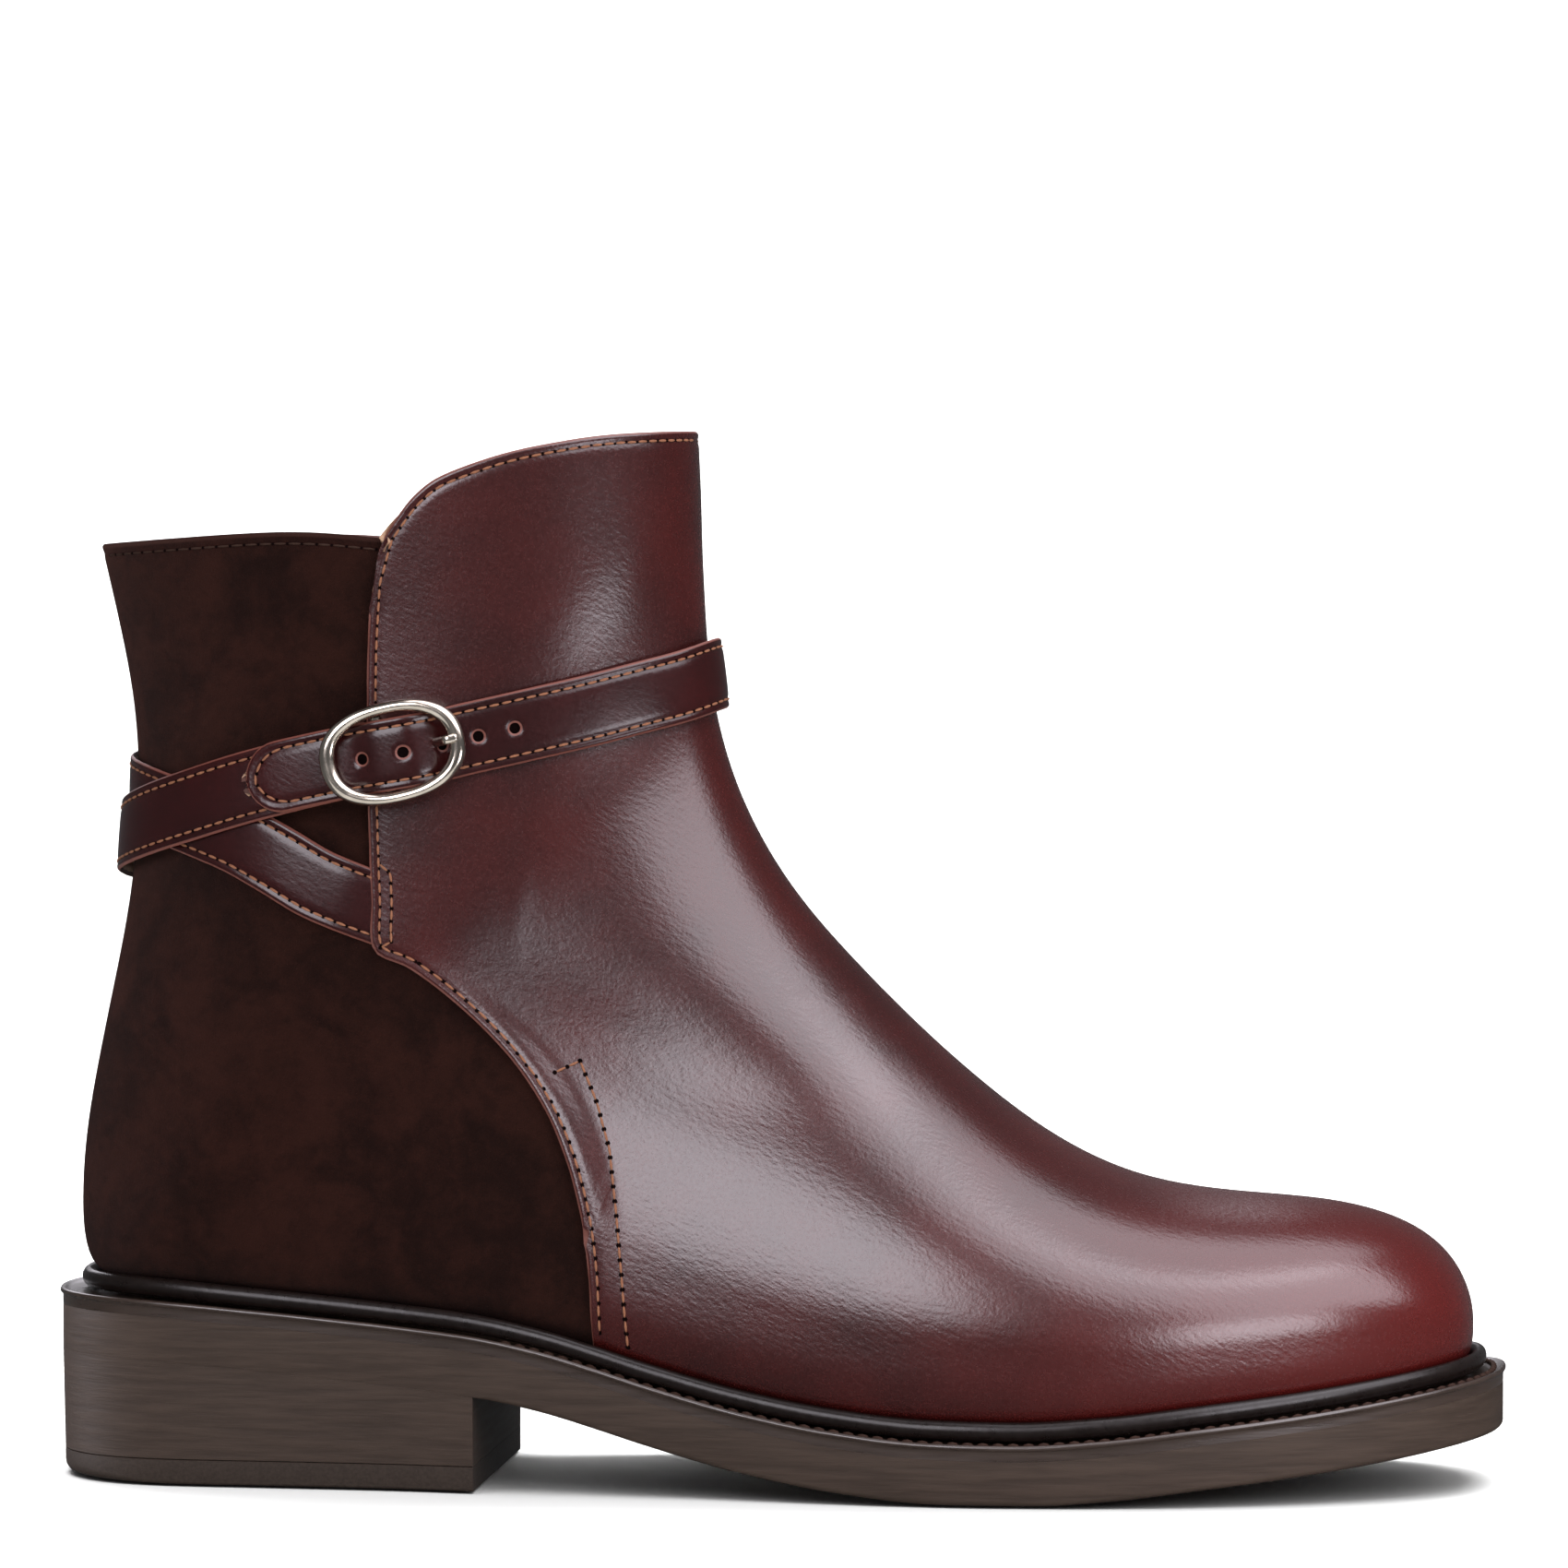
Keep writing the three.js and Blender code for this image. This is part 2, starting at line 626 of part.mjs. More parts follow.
const buckleRows = table(strapColumns, [
  [-88.4, 0.6900, 0.1, 1.0, 0.0],
  [-97.6, 0.6800, 0.0, 1.0, 0.0],
  [-114.5, 0.6620, 0.0, 1.0, 0.0],
  [-136.0, 0.6390, 0.0, 1.0, 0.0],
  [-160.0, 0.6190, 0.0, 1.0, 0.0],
  [-180.0, 0.6070, 0.0, 1.0, 0.0],
  [-205.0, 0.5950, 0.0, 1.0, 0.0],
  [-230.0, 0.5850, 0.0, 0.4, 0.0],
  [-252.0, 0.5700, 0.0, 0.0, 0.0],
  [-284.0, 0.5430, 0.0, 0.0, 0.0],
]);

// A spot on the shaft at a turn and a height, found between the rows above the instep
const shaftStart = 14.5;

function onShaft(turn, height) {
  let low = shaftStart;
  let high = lastEnd - 0.1;
  for (let i = 0; i < 40; i += 1) {
    const middle = (low + high) / 2;
    if (lastPoint(middle, turn).z < height) low = middle;
    else high = middle;
  }
  return { point: lastPoint(low, turn), normal: lastNormal(low, turn) };
}

// A flat strap on the shaft: its stations follow the route, with the width square to it
function strapBody(rows, stations, tipLength) {
  const turns = rows.map((row) => ({ ...row, key: -row.turn }));
  const from = turns[0].key;
  const to = turns[turns.length - 1].key;
  const read = (key, column) => readRows(turns, 'key', column, key);
  const spots = Array.from({ length: stations + 1 }, (_, i) => {
    const key = from + ((to - from) * i) / stations;
    const spot = onShaft(-key, rise(read(key, 'height')));
    const layers = read(key, 'overVamp') * vampLayer + read(key, 'overStrap') * strapLayer;
    spot.lift = strapGap + layers + read(key, 'overBar') * barLayer;
    return spot;
  });
  const spine = spots.map(({ point, normal, lift }) => point.clone().addScaledVector(normal, lift));
  const left = spine.map(() => 0);
  for (let i = spine.length - 2; i >= 0; i -= 1) left[i] = left[i + 1] + spine[i].distanceTo(spine[i + 1]);
  const corners = [];
  spine.forEach((centre, i) => {
    const ahead = spine[Math.min(spine.length - 1, i + 1)];
    const behind = spine[Math.max(0, i - 1)];
    const along = ahead.clone().sub(behind).normalize();
    const across = spots[i].normal.clone().cross(along).normalize();
    const out = along.clone().cross(across).normalize();
    const round = tipLength > 0 ? Math.min(1, left[i] / tipLength) : 1;
    const half = 0.5 * strapWidth * Math.sqrt(Math.max(0.08, 1 - (1 - round) ** 2));
    for (const [w, h] of [[-1, 0], [-strapChamfer, 1], [strapChamfer, 1], [1, 0]]) {
      corners.push(centre.clone().addScaledVector(across, w * half).addScaledVector(out, h * strapLeather));
    }
  });
  const faces = wallFaces(spine.length, 4);
  const end = 4 * (spine.length - 1);
  faces.push([0, 2, 1], [0, 3, 2], [end, end + 1, end + 2], [end, end + 2, end + 3]);
  return bodyOf(corners, faces);
}

// The buckle lies flat over the straps on the outer side
const buckleTurn = -84;
const buckleRise = rise(0.695);
const buckleSlope = 0.0132 * frontHeight;
const buckleSpot = onShaft(buckleTurn, buckleRise);
const buckleAlong = onShaft(buckleTurn + 12, buckleRise + buckleSlope).point
  .sub(onShaft(buckleTurn - 12, buckleRise - buckleSlope).point).normalize();
const buckleAcross = buckleSpot.normal.clone().cross(buckleAlong).normalize();
const buckleOut = buckleAlong.clone().cross(buckleAcross).normalize();
const buckleLean = 0.05;
const barPlace = -0.07 * buckleLength;
const ovalBend = 2.35;
const slimShare = 0.74;

function onBuckle(along, across, lift) {
  return buckleSpot.point.clone()
    .addScaledVector(buckleAlong, along)
    .addScaledVector(buckleAcross, across)
    .addScaledVector(buckleOut, lift - buckleLean * along);
}

// A rod through points, each with the half width across and the half thickness outwards at that point
function rodBody(points, closed, sides = 8) {
  const corners = points.flatMap(({ at, side, out, wide, thick }) => Array.from({ length: sides }, (_, k) => {
    const angle = ((k + 0.5) / sides) * 2 * Math.PI;
    return at.clone().addScaledVector(side, wide * Math.cos(angle)).addScaledVector(out, thick * Math.sin(angle));
  }));
  const faces = wallFaces(points.length, sides, closed);
  const end = (points.length - 1) * sides;
  for (let k = 1; k < sides - 1 && !closed; k += 1) {
    faces.push([0, k + 1, k], [end, end + k, end + k + 1]);
  }
  return bodyOf(corners, faces);
}

function makeBuckleFrame() {
  const round = 2 / ovalBend;
  const ring = Array.from({ length: frameSides }, (_, i) => {
    const angle = (i / frameSides) * 2 * Math.PI;
    const c = Math.cos(angle);
    const s = Math.sin(angle);
    const wide = 0.5 * wireWidth * (slimShare + (1 - slimShare) * c * c);
    const x = Math.sign(c) * Math.abs(c) ** round * (0.5 * buckleLength - wide);
    const y = Math.sign(s) * Math.abs(s) ** round * (0.5 * buckleHeight - wide);
    const side = onBuckle(x + c, y + 1.4 * s, 0).sub(onBuckle(x, y, 0)).normalize();
    return { at: onBuckle(x, y, frameLift), side, out: buckleOut, wide, thick: 0.5 * wireThickness };
  });
  const reach = 0.5 * buckleHeight - 0.45 * wireWidth;
  const shoulder = 0.5 * strapWidth + gap;
  const rise = frameLift - gap;
  const barRoute = [[-reach, rise], [-shoulder, barLift], [shoulder, barLift], [reach, rise]];
  const bar = barRoute.map(([y, lift]) => ({
    at: onBuckle(barPlace, y, lift),
    side: buckleAlong,
    out: buckleOut,
    wide: 0.5 * barDiameter,
    thick: 0.5 * barDiameter,
  }));
  return rodBody(ring, true).add(rodBody(bar, false)).subtract(prongRod(gap));
}

// The prong leaves the bar under the strap, comes up through a hole and rests on the end of the frame
function prongRod(grow) {
  const half = 0.5 * prongWidth + grow;
  const thick = 0.5 * prongThickness + grow;
  const rest = frameLift + 0.1 * wireThickness + 0.5 * prongThickness;
  const route = [
    [barPlace + 0.5 * barDiameter + gap - grow, barLift],
    [0.15 * buckleLength, barLift - 0.4],
    [0.24 * buckleLength, barLift - 0.4],
    [0.31 * buckleLength, barLift + 0.45 * (rest - barLift)],
    [0.37 * buckleLength, rest],
    [0.46 * buckleLength + grow, rest],
  ];
  return rodBody(route.map(([along, lift], i) => ({
    at: onBuckle(along, 0, lift),
    side: buckleAcross,
    out: onBuckle(0, 0, 1).sub(onBuckle(0, 0, 0)).normalize(),
    wide: i === route.length - 1 ? 0.7 * half : half,
    thick,
  })), false);
}

// Each strap's sewn end stops against the back edge of the vamp
const anchorCut = acrossBody([
  [0.2330 * soleLength - gap, rise(0.62)],
  [0.2345 * soleLength - gap, rise(0.54)],
  [0.2345 * soleLength - gap, rise(0.45)],
  [0.36 * soleLength, rise(0.45)],
  [0.36 * soleLength, rise(0.62)],
]);

function makeWrapStrap() {
  return strapBody(wrapRows, wrapStations, 0.5 * strapWidth).subtract(prongRod(gap)).subtract(anchorCut);
}

function makeBuckleStrap() {
  return strapBody(buckleRows, buckleStations, 0).subtract(anchorCut);
}

// Colours and finish of each material
const finishes = {
  vampLeather: { color: 0x4a1f1d, roughness: 0.32, metalness: 0 },
  suede: { color: 0x2c1c14, roughness: 0.95, metalness: 0 },
  strapLeather: { color: 0x431b19, roughness: 0.35, metalness: 0 },
  nickel: { color: 0xc9c4b4, roughness: 0.15, metalness: 1 },
  soleLeather: { color: 0x3a312c, roughness: 0.5, metalness: 0 },
  rand: { color: 0x241a17, roughness: 0.4, metalness: 0 },
  rubber: { color: 0x2b2624, roughness: 0.7, metalness: 0 },
  insole: { color: 0xa98d6c, roughness: 0.7, metalness: 0 },
};
const boot = new THREE.Group();

function addPiece(name, body, finish) {
  const mesh = body.getMesh();
  const geometry = new THREE.BufferGeometry();
  geometry.setAttribute('position', new THREE.BufferAttribute(new Float32Array(mesh.vertProperties), 3));
  geometry.setIndex(new THREE.BufferAttribute(new Uint32Array(mesh.triVerts), 1));
  geometry.computeVertexNormals();
  const piece = new THREE.Mesh(geometry, new THREE.MeshStandardMaterial(finishes[finish]));
  piece.name = name;
  boot.add(piece);
}

addPiece('heel_top_piece', makeTopPiece(), 'rubber');
addPiece('heel_stack', makeHeelStack(), 'soleLeather');
addPiece('outsole', makeOutsole(), 'soleLeather');
addPiece('welt', bandBody(bandLoop, weltSection), 'soleLeather');
addPiece('rand', bandBody(bandLoop, randSection), 'rand');
addPiece('insole', makeInsole(), 'insole');
addPiece('upper', makeShell(), 'suede');
addPiece('vamp', makeVamp(), 'vampLeather');
addPiece('wrap_strap', makeWrapStrap(), 'strapLeather');
addPiece('buckle_strap', makeBuckleStrap(), 'strapLeather');
addPiece('buckle_frame', makeBuckleFrame(), 'nickel');
addPiece('buckle_prong', prongRod(0), 'nickel');

// The origin lies under the middle of the sole
const floorBox = new THREE.Box2().setFromPoints(soleLoop);
const middle = floorBox.getCenter(new THREE.Vector2());
boot.position.set(-middle.x, -middle.y, 0);

export default boot;
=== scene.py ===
"""A right ankle boot: a glossy leather vamp over a suede quarter, and one strap wrapped round the ankle.

Sizes are in millimetres: x from the back of the heel to the toe, y to the inner side of the foot, z up
from the floor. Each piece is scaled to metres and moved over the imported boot's origin when it is finished.
"""

import math

import bmesh
import bpy
import numpy as np
from mathutils import Matrix, Vector
from mathutils.bvhtree import BVHTree
from mathutils.kdtree import KDTree


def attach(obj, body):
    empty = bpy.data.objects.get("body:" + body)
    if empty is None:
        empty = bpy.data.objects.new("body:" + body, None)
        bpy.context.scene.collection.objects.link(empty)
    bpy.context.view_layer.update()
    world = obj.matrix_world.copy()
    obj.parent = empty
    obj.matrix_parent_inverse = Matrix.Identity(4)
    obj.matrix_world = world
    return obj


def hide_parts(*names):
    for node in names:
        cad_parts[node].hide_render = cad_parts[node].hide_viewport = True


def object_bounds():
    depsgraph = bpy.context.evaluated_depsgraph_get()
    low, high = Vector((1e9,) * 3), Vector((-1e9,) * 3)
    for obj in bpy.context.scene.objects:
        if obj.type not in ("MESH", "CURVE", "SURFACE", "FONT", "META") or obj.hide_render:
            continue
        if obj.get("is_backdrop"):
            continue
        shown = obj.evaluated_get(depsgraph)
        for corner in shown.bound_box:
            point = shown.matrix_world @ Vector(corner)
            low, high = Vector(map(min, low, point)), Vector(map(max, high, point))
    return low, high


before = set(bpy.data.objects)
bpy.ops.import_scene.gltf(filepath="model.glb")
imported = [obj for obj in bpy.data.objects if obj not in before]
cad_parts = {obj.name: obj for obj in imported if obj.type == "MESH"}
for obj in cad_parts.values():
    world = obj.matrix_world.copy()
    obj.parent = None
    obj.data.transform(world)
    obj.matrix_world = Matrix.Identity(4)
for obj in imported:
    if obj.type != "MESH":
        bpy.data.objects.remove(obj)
packed_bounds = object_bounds()

MILLIMETRE = 0.001
SOLE_MIDDLE = Vector((138.36, 0.425, 0.0))

# The last and the upper
SOLE_LENGTH = 276.0
UPPER_WIDTH = 85.0
ANKLE_WIDTH = 56.0
FRONT_HEIGHT = 198.6
BACK_HEIGHT = 178.0
SHELL_WALL = 2.2
VAMP_LEATHER = 1.2
VAMP_TOP = 1.5

# The sole
HEEL_SEAT = 35.3
FOREFOOT_SEAT = 11.2
TOE_SPRING = 10.8
SOLE_THICKNESS = 11.4
WELT_THICKNESS = 3.0
WELT_MARGIN = 6.4
WELT_TUCK = 7.0
RAND_HEIGHT = 3.9
HEEL_LENGTH = 84.4
HEEL_TAPER = 0.4
TOP_PIECE = 4.6
INSOLE_THICKNESS = 2.4
EDGE_INSET = 0.5

# The straps and the buckle
STRAP_WIDTH = 13.5
STRAP_LEATHER = 1.3
BUCKLE_LENGTH = 27.5
BUCKLE_HEIGHT = 19.0
WIRE_WIDTH = 3.0
WIRE_THICKNESS = 2.4
BAR_DIAMETER = 2.2
PRONG_WIDTH = 1.8
PRONG_THICKNESS = 1.5
GAP = 0.3
STRAP_GAP = 0.5

# How finely the last is read
SECTION_LINES = 460
TURN_LINES = 541
SHAFT_LINES = 900
AROUND_LINES = 361
SHARE_STEPS = 100

# along, arch share, toe spring share: the height of the welt's top
SEAT_ROWS = np.array([
    (0.000, 1.000, 0.00),
    (0.072, 0.975, 0.00),
    (0.156, 0.905, 0.00),
    (0.254, 0.805, 0.00),
    (0.304, 0.745, 0.00),
    (0.352, 0.640, 0.00),
    (0.391, 0.515, 0.00),
    (0.424, 0.400, 0.00),
    (0.489, 0.207, 0.00),
    (0.551, 0.083, 0.00),
    (0.616, 0.012, 0.00),
    (0.675, 0.000, 0.00),
    (0.735, 0.000, 0.09),
    (0.797, 0.000, 0.27),
    (0.859, 0.000, 0.45),
    (0.920, 0.000, 0.66),
    (0.982, 0.000, 0.91),
    (1.030, 0.000, 1.12),
])

# Sections of the last, fanned from the toe tip to the collar: low x and z where a section leaves the sole or
# the back, high x and z on the ridge, then centre, outer, inner and ankle widths, belly, low and high bend
LAST_ROWS = np.array([
    (0.9745, 0.143, 0.9745, 0.143, 0.055, 0.000, 0.000, 0.000, 0.50, 2.2, 2.1),
    (0.9725, 0.118, 0.9735, 0.172, 0.055, 0.122, 0.122, 0.000, 0.50, 2.6, 2.1),
    (0.9580, 0.106, 0.9610, 0.210, 0.055, 0.222, 0.222, 0.000, 0.46, 3.4, 2.1),
    (0.9250, 0.096, 0.9320, 0.241, 0.050, 0.318, 0.318, 0.000, 0.42, 4.2, 2.1),
    (0.8750, 0.085, 0.8810, 0.260, 0.044, 0.400, 0.395, 0.000, 0.39, 4.8, 2.1),
    (0.8100, 0.075, 0.8150, 0.264, 0.036, 0.472, 0.456, 0.000, 0.36, 5.0, 2.1),
    (0.7400, 0.064, 0.7470, 0.277, 0.026, 0.514, 0.486, 0.000, 0.34, 5.0, 2.1),
    (0.6650, 0.057, 0.6870, 0.318, 0.016, 0.528, 0.486, 0.000, 0.32, 5.0, 2.0),
    (0.5870, 0.061, 0.6355, 0.374, 0.008, 0.514, 0.456, 0.000, 0.29, 5.0, 1.9),
    (0.5070, 0.078, 0.5910, 0.430, 0.004, 0.476, 0.420, 0.000, 0.27, 5.0, 1.85),
    (0.4240, 0.107, 0.5500, 0.488, 0.000, 0.436, 0.386, 0.000, 0.26, 5.2, 1.85),
    (0.3330, 0.144, 0.5140, 0.543, 0.000, 0.402, 0.364, 0.000, 0.26, 5.4, 1.9),
    (0.2390, 0.162, 0.4865, 0.600, 0.000, 0.372, 0.352, 0.000, 0.27, 5.6, 1.95),
    (0.1490, 0.172, 0.4660, 0.660, 0.000, 0.236, 0.232, 0.180, 0.29, 5.4, 2.0),
    (0.0450, 0.178, 0.4545, 0.716, 0.000, 0.118, 0.118, 0.350, 0.31, 3.5, 2.0),
    (0.0180, 0.200, 0.4490, 0.760, 0.000, 0.000, 0.000, 0.530, 0.35, 2.3, 2.0),
    (0.0150, 0.258, 0.4465, 0.797, 0.000, 0.000, 0.000, 0.520, 0.39, 2.2, 2.0),
    (0.0180, 0.325, 0.4450, 0.829, 0.000, 0.000, 0.000, 0.512, 0.42, 2.2, 2.0),
    (0.0270, 0.394, 0.4440, 0.858, 0.000, 0.000, 0.000, 0.506, 0.44, 2.2, 2.0),
    (0.0375, 0.464, 0.4430, 0.886, 0.000, 0.000, 0.000, 0.502, 0.46, 2.2, 2.05),
    (0.0480, 0.534, 0.4425, 0.914, 0.000, 0.000, 0.000, 0.500, 0.47, 2.2, 2.1),
    (0.0545, 0.604, 0.4420, 0.941, 0.000, 0.000, 0.000, 0.500, 0.48, 2.2, 2.1),
    (0.0565, 0.674, 0.4410, 0.969, 0.000, 0.000, 0.000, 0.503, 0.49, 2.2, 2.1),
    (0.0530, 0.744, 0.4400, 0.997, 0.000, 0.000, 0.000, 0.510, 0.50, 2.2, 2.1),
    (0.0430, 0.814, 0.4395, 1.024, 0.000, 0.000, 0.000, 0.520, 0.50, 2.2, 2.1),
    (0.0310, 0.885, 0.4395, 1.052, 0.000, 0.000, 0.000, 0.530, 0.50, 2.2, 2.1),
    (0.0195, 0.955, 0.4395, 1.080, 0.000, 0.000, 0.000, 0.540, 0.50, 2.2, 2.1),
    (0.0080, 1.030, 0.4395, 1.110, 0.000, 0.000, 0.000, 0.550, 0.50, 2.2, 2.1),
])
LAST_END = len(LAST_ROWS) - 2
SEAT_SHARE = 0.1777

# along, share of the full welt margin
MARGIN_ROWS = np.array([
    (-0.10, 1.17),
    (0.02, 1.17),
    (0.16, 0.80),
    (0.40, 0.72),
    (0.64, 0.92),
    (0.85, 1.00),
    (0.97, 1.08),
    (1.10, 1.08),
])

# turn, height share, then what lies under the strap there: vamp, straps, buckle bar
WRAP_ROWS = np.array([
    (-76.0, 0.5430, 0.0, 0.0, 0.0),
    (-92.0, 0.5690, 0.0, 0.0, 0.0),
    (-105.0, 0.5930, 0.0, 0.0, 0.0),
    (-119.0, 0.6150, 0.0, 0.0, 0.0),
    (-139.0, 0.6350, 0.0, 0.0, 0.0),
    (-160.0, 0.6490, 0.0, 0.0, 0.0),
    (-180.0, 0.6570, 0.0, 0.0, 0.0),
    (-205.0, 0.6630, 0.0, 0.0, 0.0),
    (-230.0, 0.6740, 0.0, 0.0, 0.0),
    (-255.0, 0.6910, 0.1, 0.0, 0.0),
    (-266.0, 0.7000, 1.0, 0.0, 0.0),
    (-290.0, 0.7210, 1.0, 0.0, 0.0),
    (-310.0, 0.7380, 1.0, 0.0, 0.0),
    (-335.0, 0.7560, 1.3, 0.0, 0.0),
    (-360.0, 0.7660, 1.8, 0.0, 0.0),
    (-385.0, 0.7510, 1.4, 0.0, 0.0),
    (-408.0, 0.7290, 1.0, 0.0, 0.0),
    (-422.0, 0.7150, 1.0, 0.0, 0.0),
    (-429.0, 0.7080, 1.0, 0.0, 0.0),
    (-433.5, 0.7030, 1.0, 0.0, 0.1),
    (-438.0, 0.6990, 1.0, 0.0, 0.7),
    (-441.0, 0.6962, 1.0, 0.0, 1.0),
    (-445.5, 0.6920, 1.0, 0.0, 1.0),
    (-452.0, 0.6860, 0.2, 1.7, 0.05),
    (-458.0, 0.6800, 0.0, 2.0, 0.0),
    (-466.0, 0.6720, 0.0, 2.0, 0.0),
    (-474.5, 0.6630, 0.0, 2.0, 0.0),
])
BUCKLE_ROWS = np.array([
    (-88.4, 0.6900, 0.1, 1.0, 0.0),
    (-97.6, 0.6800, 0.0, 1.0, 0.0),
    (-114.5, 0.6620, 0.0, 1.0, 0.0),
    (-136.0, 0.6390, 0.0, 1.0, 0.0),
    (-160.0, 0.6190, 0.0, 1.0, 0.0),
    (-180.0, 0.6070, 0.0, 1.0, 0.0),
    (-205.0, 0.5950, 0.0, 1.0, 0.0),
    (-230.0, 0.5850, 0.0, 0.4, 0.0),
    (-252.0, 0.5700, 0.0, 0.0, 0.0),
    (-284.0, 0.5430, 0.0, 0.0, 0.0),
])


# The last

def read_rows(rows, column, at):
    """A smooth curve through the rows of a table, its first column read against another."""
    keys = rows[:, 0]
    values = rows[:, column]
    at = np.asarray(at, float)
    i = np.clip(np.searchsorted(keys, at) - 1, 0, len(keys) - 2)
    step = np.diff(keys)
    slope = np.diff(values) / step
    product = slope[:-1] * slope[1:]
    total = np.where(product > 0, slope[:-1] + slope[1:], 1.0)
    inner = np.where(product > 0, 2 * product / total, 0.0)
    tangent = np.concatenate([slope[:1], inner, slope[-1:]])
    t = np.clip((at - keys[i]) / step[i], 0, 1)
    bend = (2 * t**3 - 3 * t**2 + 1) * values[i] + (3 * t**2 - 2 * t**3) * values[i + 1]
    return bend + (t**3 - 2 * t**2 + t) * step[i] * tangent[i] + (t**3 - t**2) * step[i] * tangent[i + 1]


def smooth_step(start, end, at):
    t = np.clip((at - start) / (end - start), 0, 1)
    return t * t * (3 - 2 * t)


def seat(x):
    """Height of the welt's top."""
    along = np.asarray(x) / SOLE_LENGTH
    arch = read_rows(SEAT_ROWS, 1, along) * (HEEL_SEAT - FOREFOOT_SEAT)
    return FOREFOOT_SEAT + arch + read_rows(SEAT_ROWS, 2, along) * TOE_SPRING


def underside(x):
    return np.maximum(0, seat(x) - SOLE_THICKNESS)


def rise(share):
    """A height from its share of the front height, with the heel seat held."""
    return HEEL_SEAT + (share - SEAT_SHARE) * (FRONT_HEIGHT - HEEL_SEAT) / (1 - SEAT_SHARE)


def last_point(place, turn):
    """Points of the last: place counts its rows from the toe, turn runs round a section from the ridge."""
    place, turn = np.broadcast_arrays(np.asarray(place, float), np.asarray(turn, float))
    at = np.clip(place, 0, LAST_END - 1e-6)
    i = np.floor(at).astype(int)
    t = at - i
    weights = [(1 - t)**3, 3 * t**3 - 6 * t**2 + 4, -3 * t**3 + 3 * t**2 + 3 * t + 1, t**3]
    tip = LAST_ROWS[1][[2, 3, 0, 1, 4, 5, 6, 7, 8, 9, 10]] * np.array([1, 1, 1, 1, 1, -1, -1, 1, 1, 1, 1])
    rows = np.vstack([tip, LAST_ROWS])
    mixed = np.moveaxis(sum(rows[i + k] * (weights[k] / 6)[..., None] for k in range(4)), -1, 0)
    low_x, low_z, high_x, high_z, centre, outer, inner, ankle, belly, low_bend, high_bend = mixed
    low_x = low_x * SOLE_LENGTH
    high_x = high_x * SOLE_LENGTH
    low_z = np.maximum(rise(low_z), seat(low_x) + GAP)
    c = np.cos(np.radians(turn))
    s = np.sin(np.radians(turn))
    power = 2 / np.where(c > 0, high_bend, low_bend)
    reach = np.abs(c)**power
    share = np.where(c > 0, belly + (1 - belly) * reach, belly * (1 - reach))
    half = np.where(s < 0, -outer, inner) * UPPER_WIDTH + np.sign(s) * ankle * ANKLE_WIDTH
    return np.stack([
        low_x + share * (high_x - low_x),
        centre * UPPER_WIDTH + half * np.abs(s)**power,
        low_z + share * (rise(high_z) - low_z),
    ], axis=-1)


def unit(vectors):
    return vectors / np.maximum(np.linalg.norm(vectors, axis=-1, keepdims=True), 1e-9)


def last_normal(place, turn):
    place = np.asarray(place)
    turn = np.asarray(turn)
    step = 0.02
    along = last_point(place + step, turn) - last_point(np.maximum(0.001, place - step), turn)
    round_it = last_point(place, turn + 1.0) - last_point(place, turn - 1.0)
    return unit(np.cross(round_it, along))


def skin_point(place, turn, offset):
    return last_point(place, turn) + last_normal(place, turn) * np.asarray(offset)[..., None]


# Outlines seen from the side

def curve_through(points, count):
    """A curve through a few points, as many steps between each two."""
    points = np.asarray(points, float)
    padded = np.vstack([points[:1], points, points[-1:]])
    t = np.linspace(0, 1, count, endpoint=False)[:, None]
    spans = []
    for a, b, c, d in zip(padded, padded[1:], padded[2:], padded[3:]):
        start = 0.5 * (c - a)
        end = 0.5 * (d - b)
        cubic = 2 * b - 2 * c + start + end
        square = -3 * b + 3 * c - 2 * start - end
        spans.append(cubic * t**3 + square * t**2 + start * t + b)
    return np.vstack(spans + [points[-1:]])


FLAP_BACK = 0.2425 * SOLE_LENGTH
FLAP_FRONT = 0.452 * SOLE_LENGTH
FLAP_SHARES = [
    (0.000, 0.000), (0.048, 0.194), (0.105, 0.390), (0.193, 0.568),
    (0.380, 0.760), (0.558, 0.874), (0.737, 0.950), (1.000, 1.000),
]
VAMP_BACK_SHARES = [
    (0.3870, 0.140), (0.3850, 0.205), (0.3795, 0.260), (0.3690, 0.312), (0.3535, 0.360), (0.3290, 0.408),
    (0.2960, 0.453), (0.2610, 0.490), (0.2360, 0.508), (0.2340, 0.555), (0.2325, 0.610), (0.2310, 0.700),
    (0.2315, 0.790), (0.2345, 0.855),
]
quarter_edge = curve_through([
    (-0.08 * SOLE_LENGTH, BACK_HEIGHT - 2),
    (0.03 * SOLE_LENGTH, BACK_HEIGHT - 1),
    (0.17 * SOLE_LENGTH, BACK_HEIGHT + 1.2),
    (FLAP_BACK, BACK_HEIGHT),
], 12)
flap_edge = curve_through([
    (FLAP_BACK + along * (FLAP_FRONT - FLAP_BACK), BACK_HEIGHT + up * (FRONT_HEIGHT - BACK_HEIGHT))
    for along, up in FLAP_SHARES
], 12)
vamp_back = curve_through([(x * SOLE_LENGTH, rise(z)) for x, z in VAMP_BACK_SHARES], 8)
vamp_rear = np.vstack([vamp_back, flap_edge])
collar_line = np.vstack([quarter_edge, flap_edge[1:]])


def ahead_of_rear(points):
    """How far points lie in front of the vamp's rear edge, seen from the side."""
    z = points[..., 2]
    edge = np.interp(z, vamp_rear[:, 1], vamp_rear[:, 0])
    return points[..., 0] - edge - np.maximum(0, z - FRONT_HEIGHT) * 100


def below_collar(points):
    return np.interp(points[..., 0], collar_line[:, 0], collar_line[:, 1]) - points[..., 2]


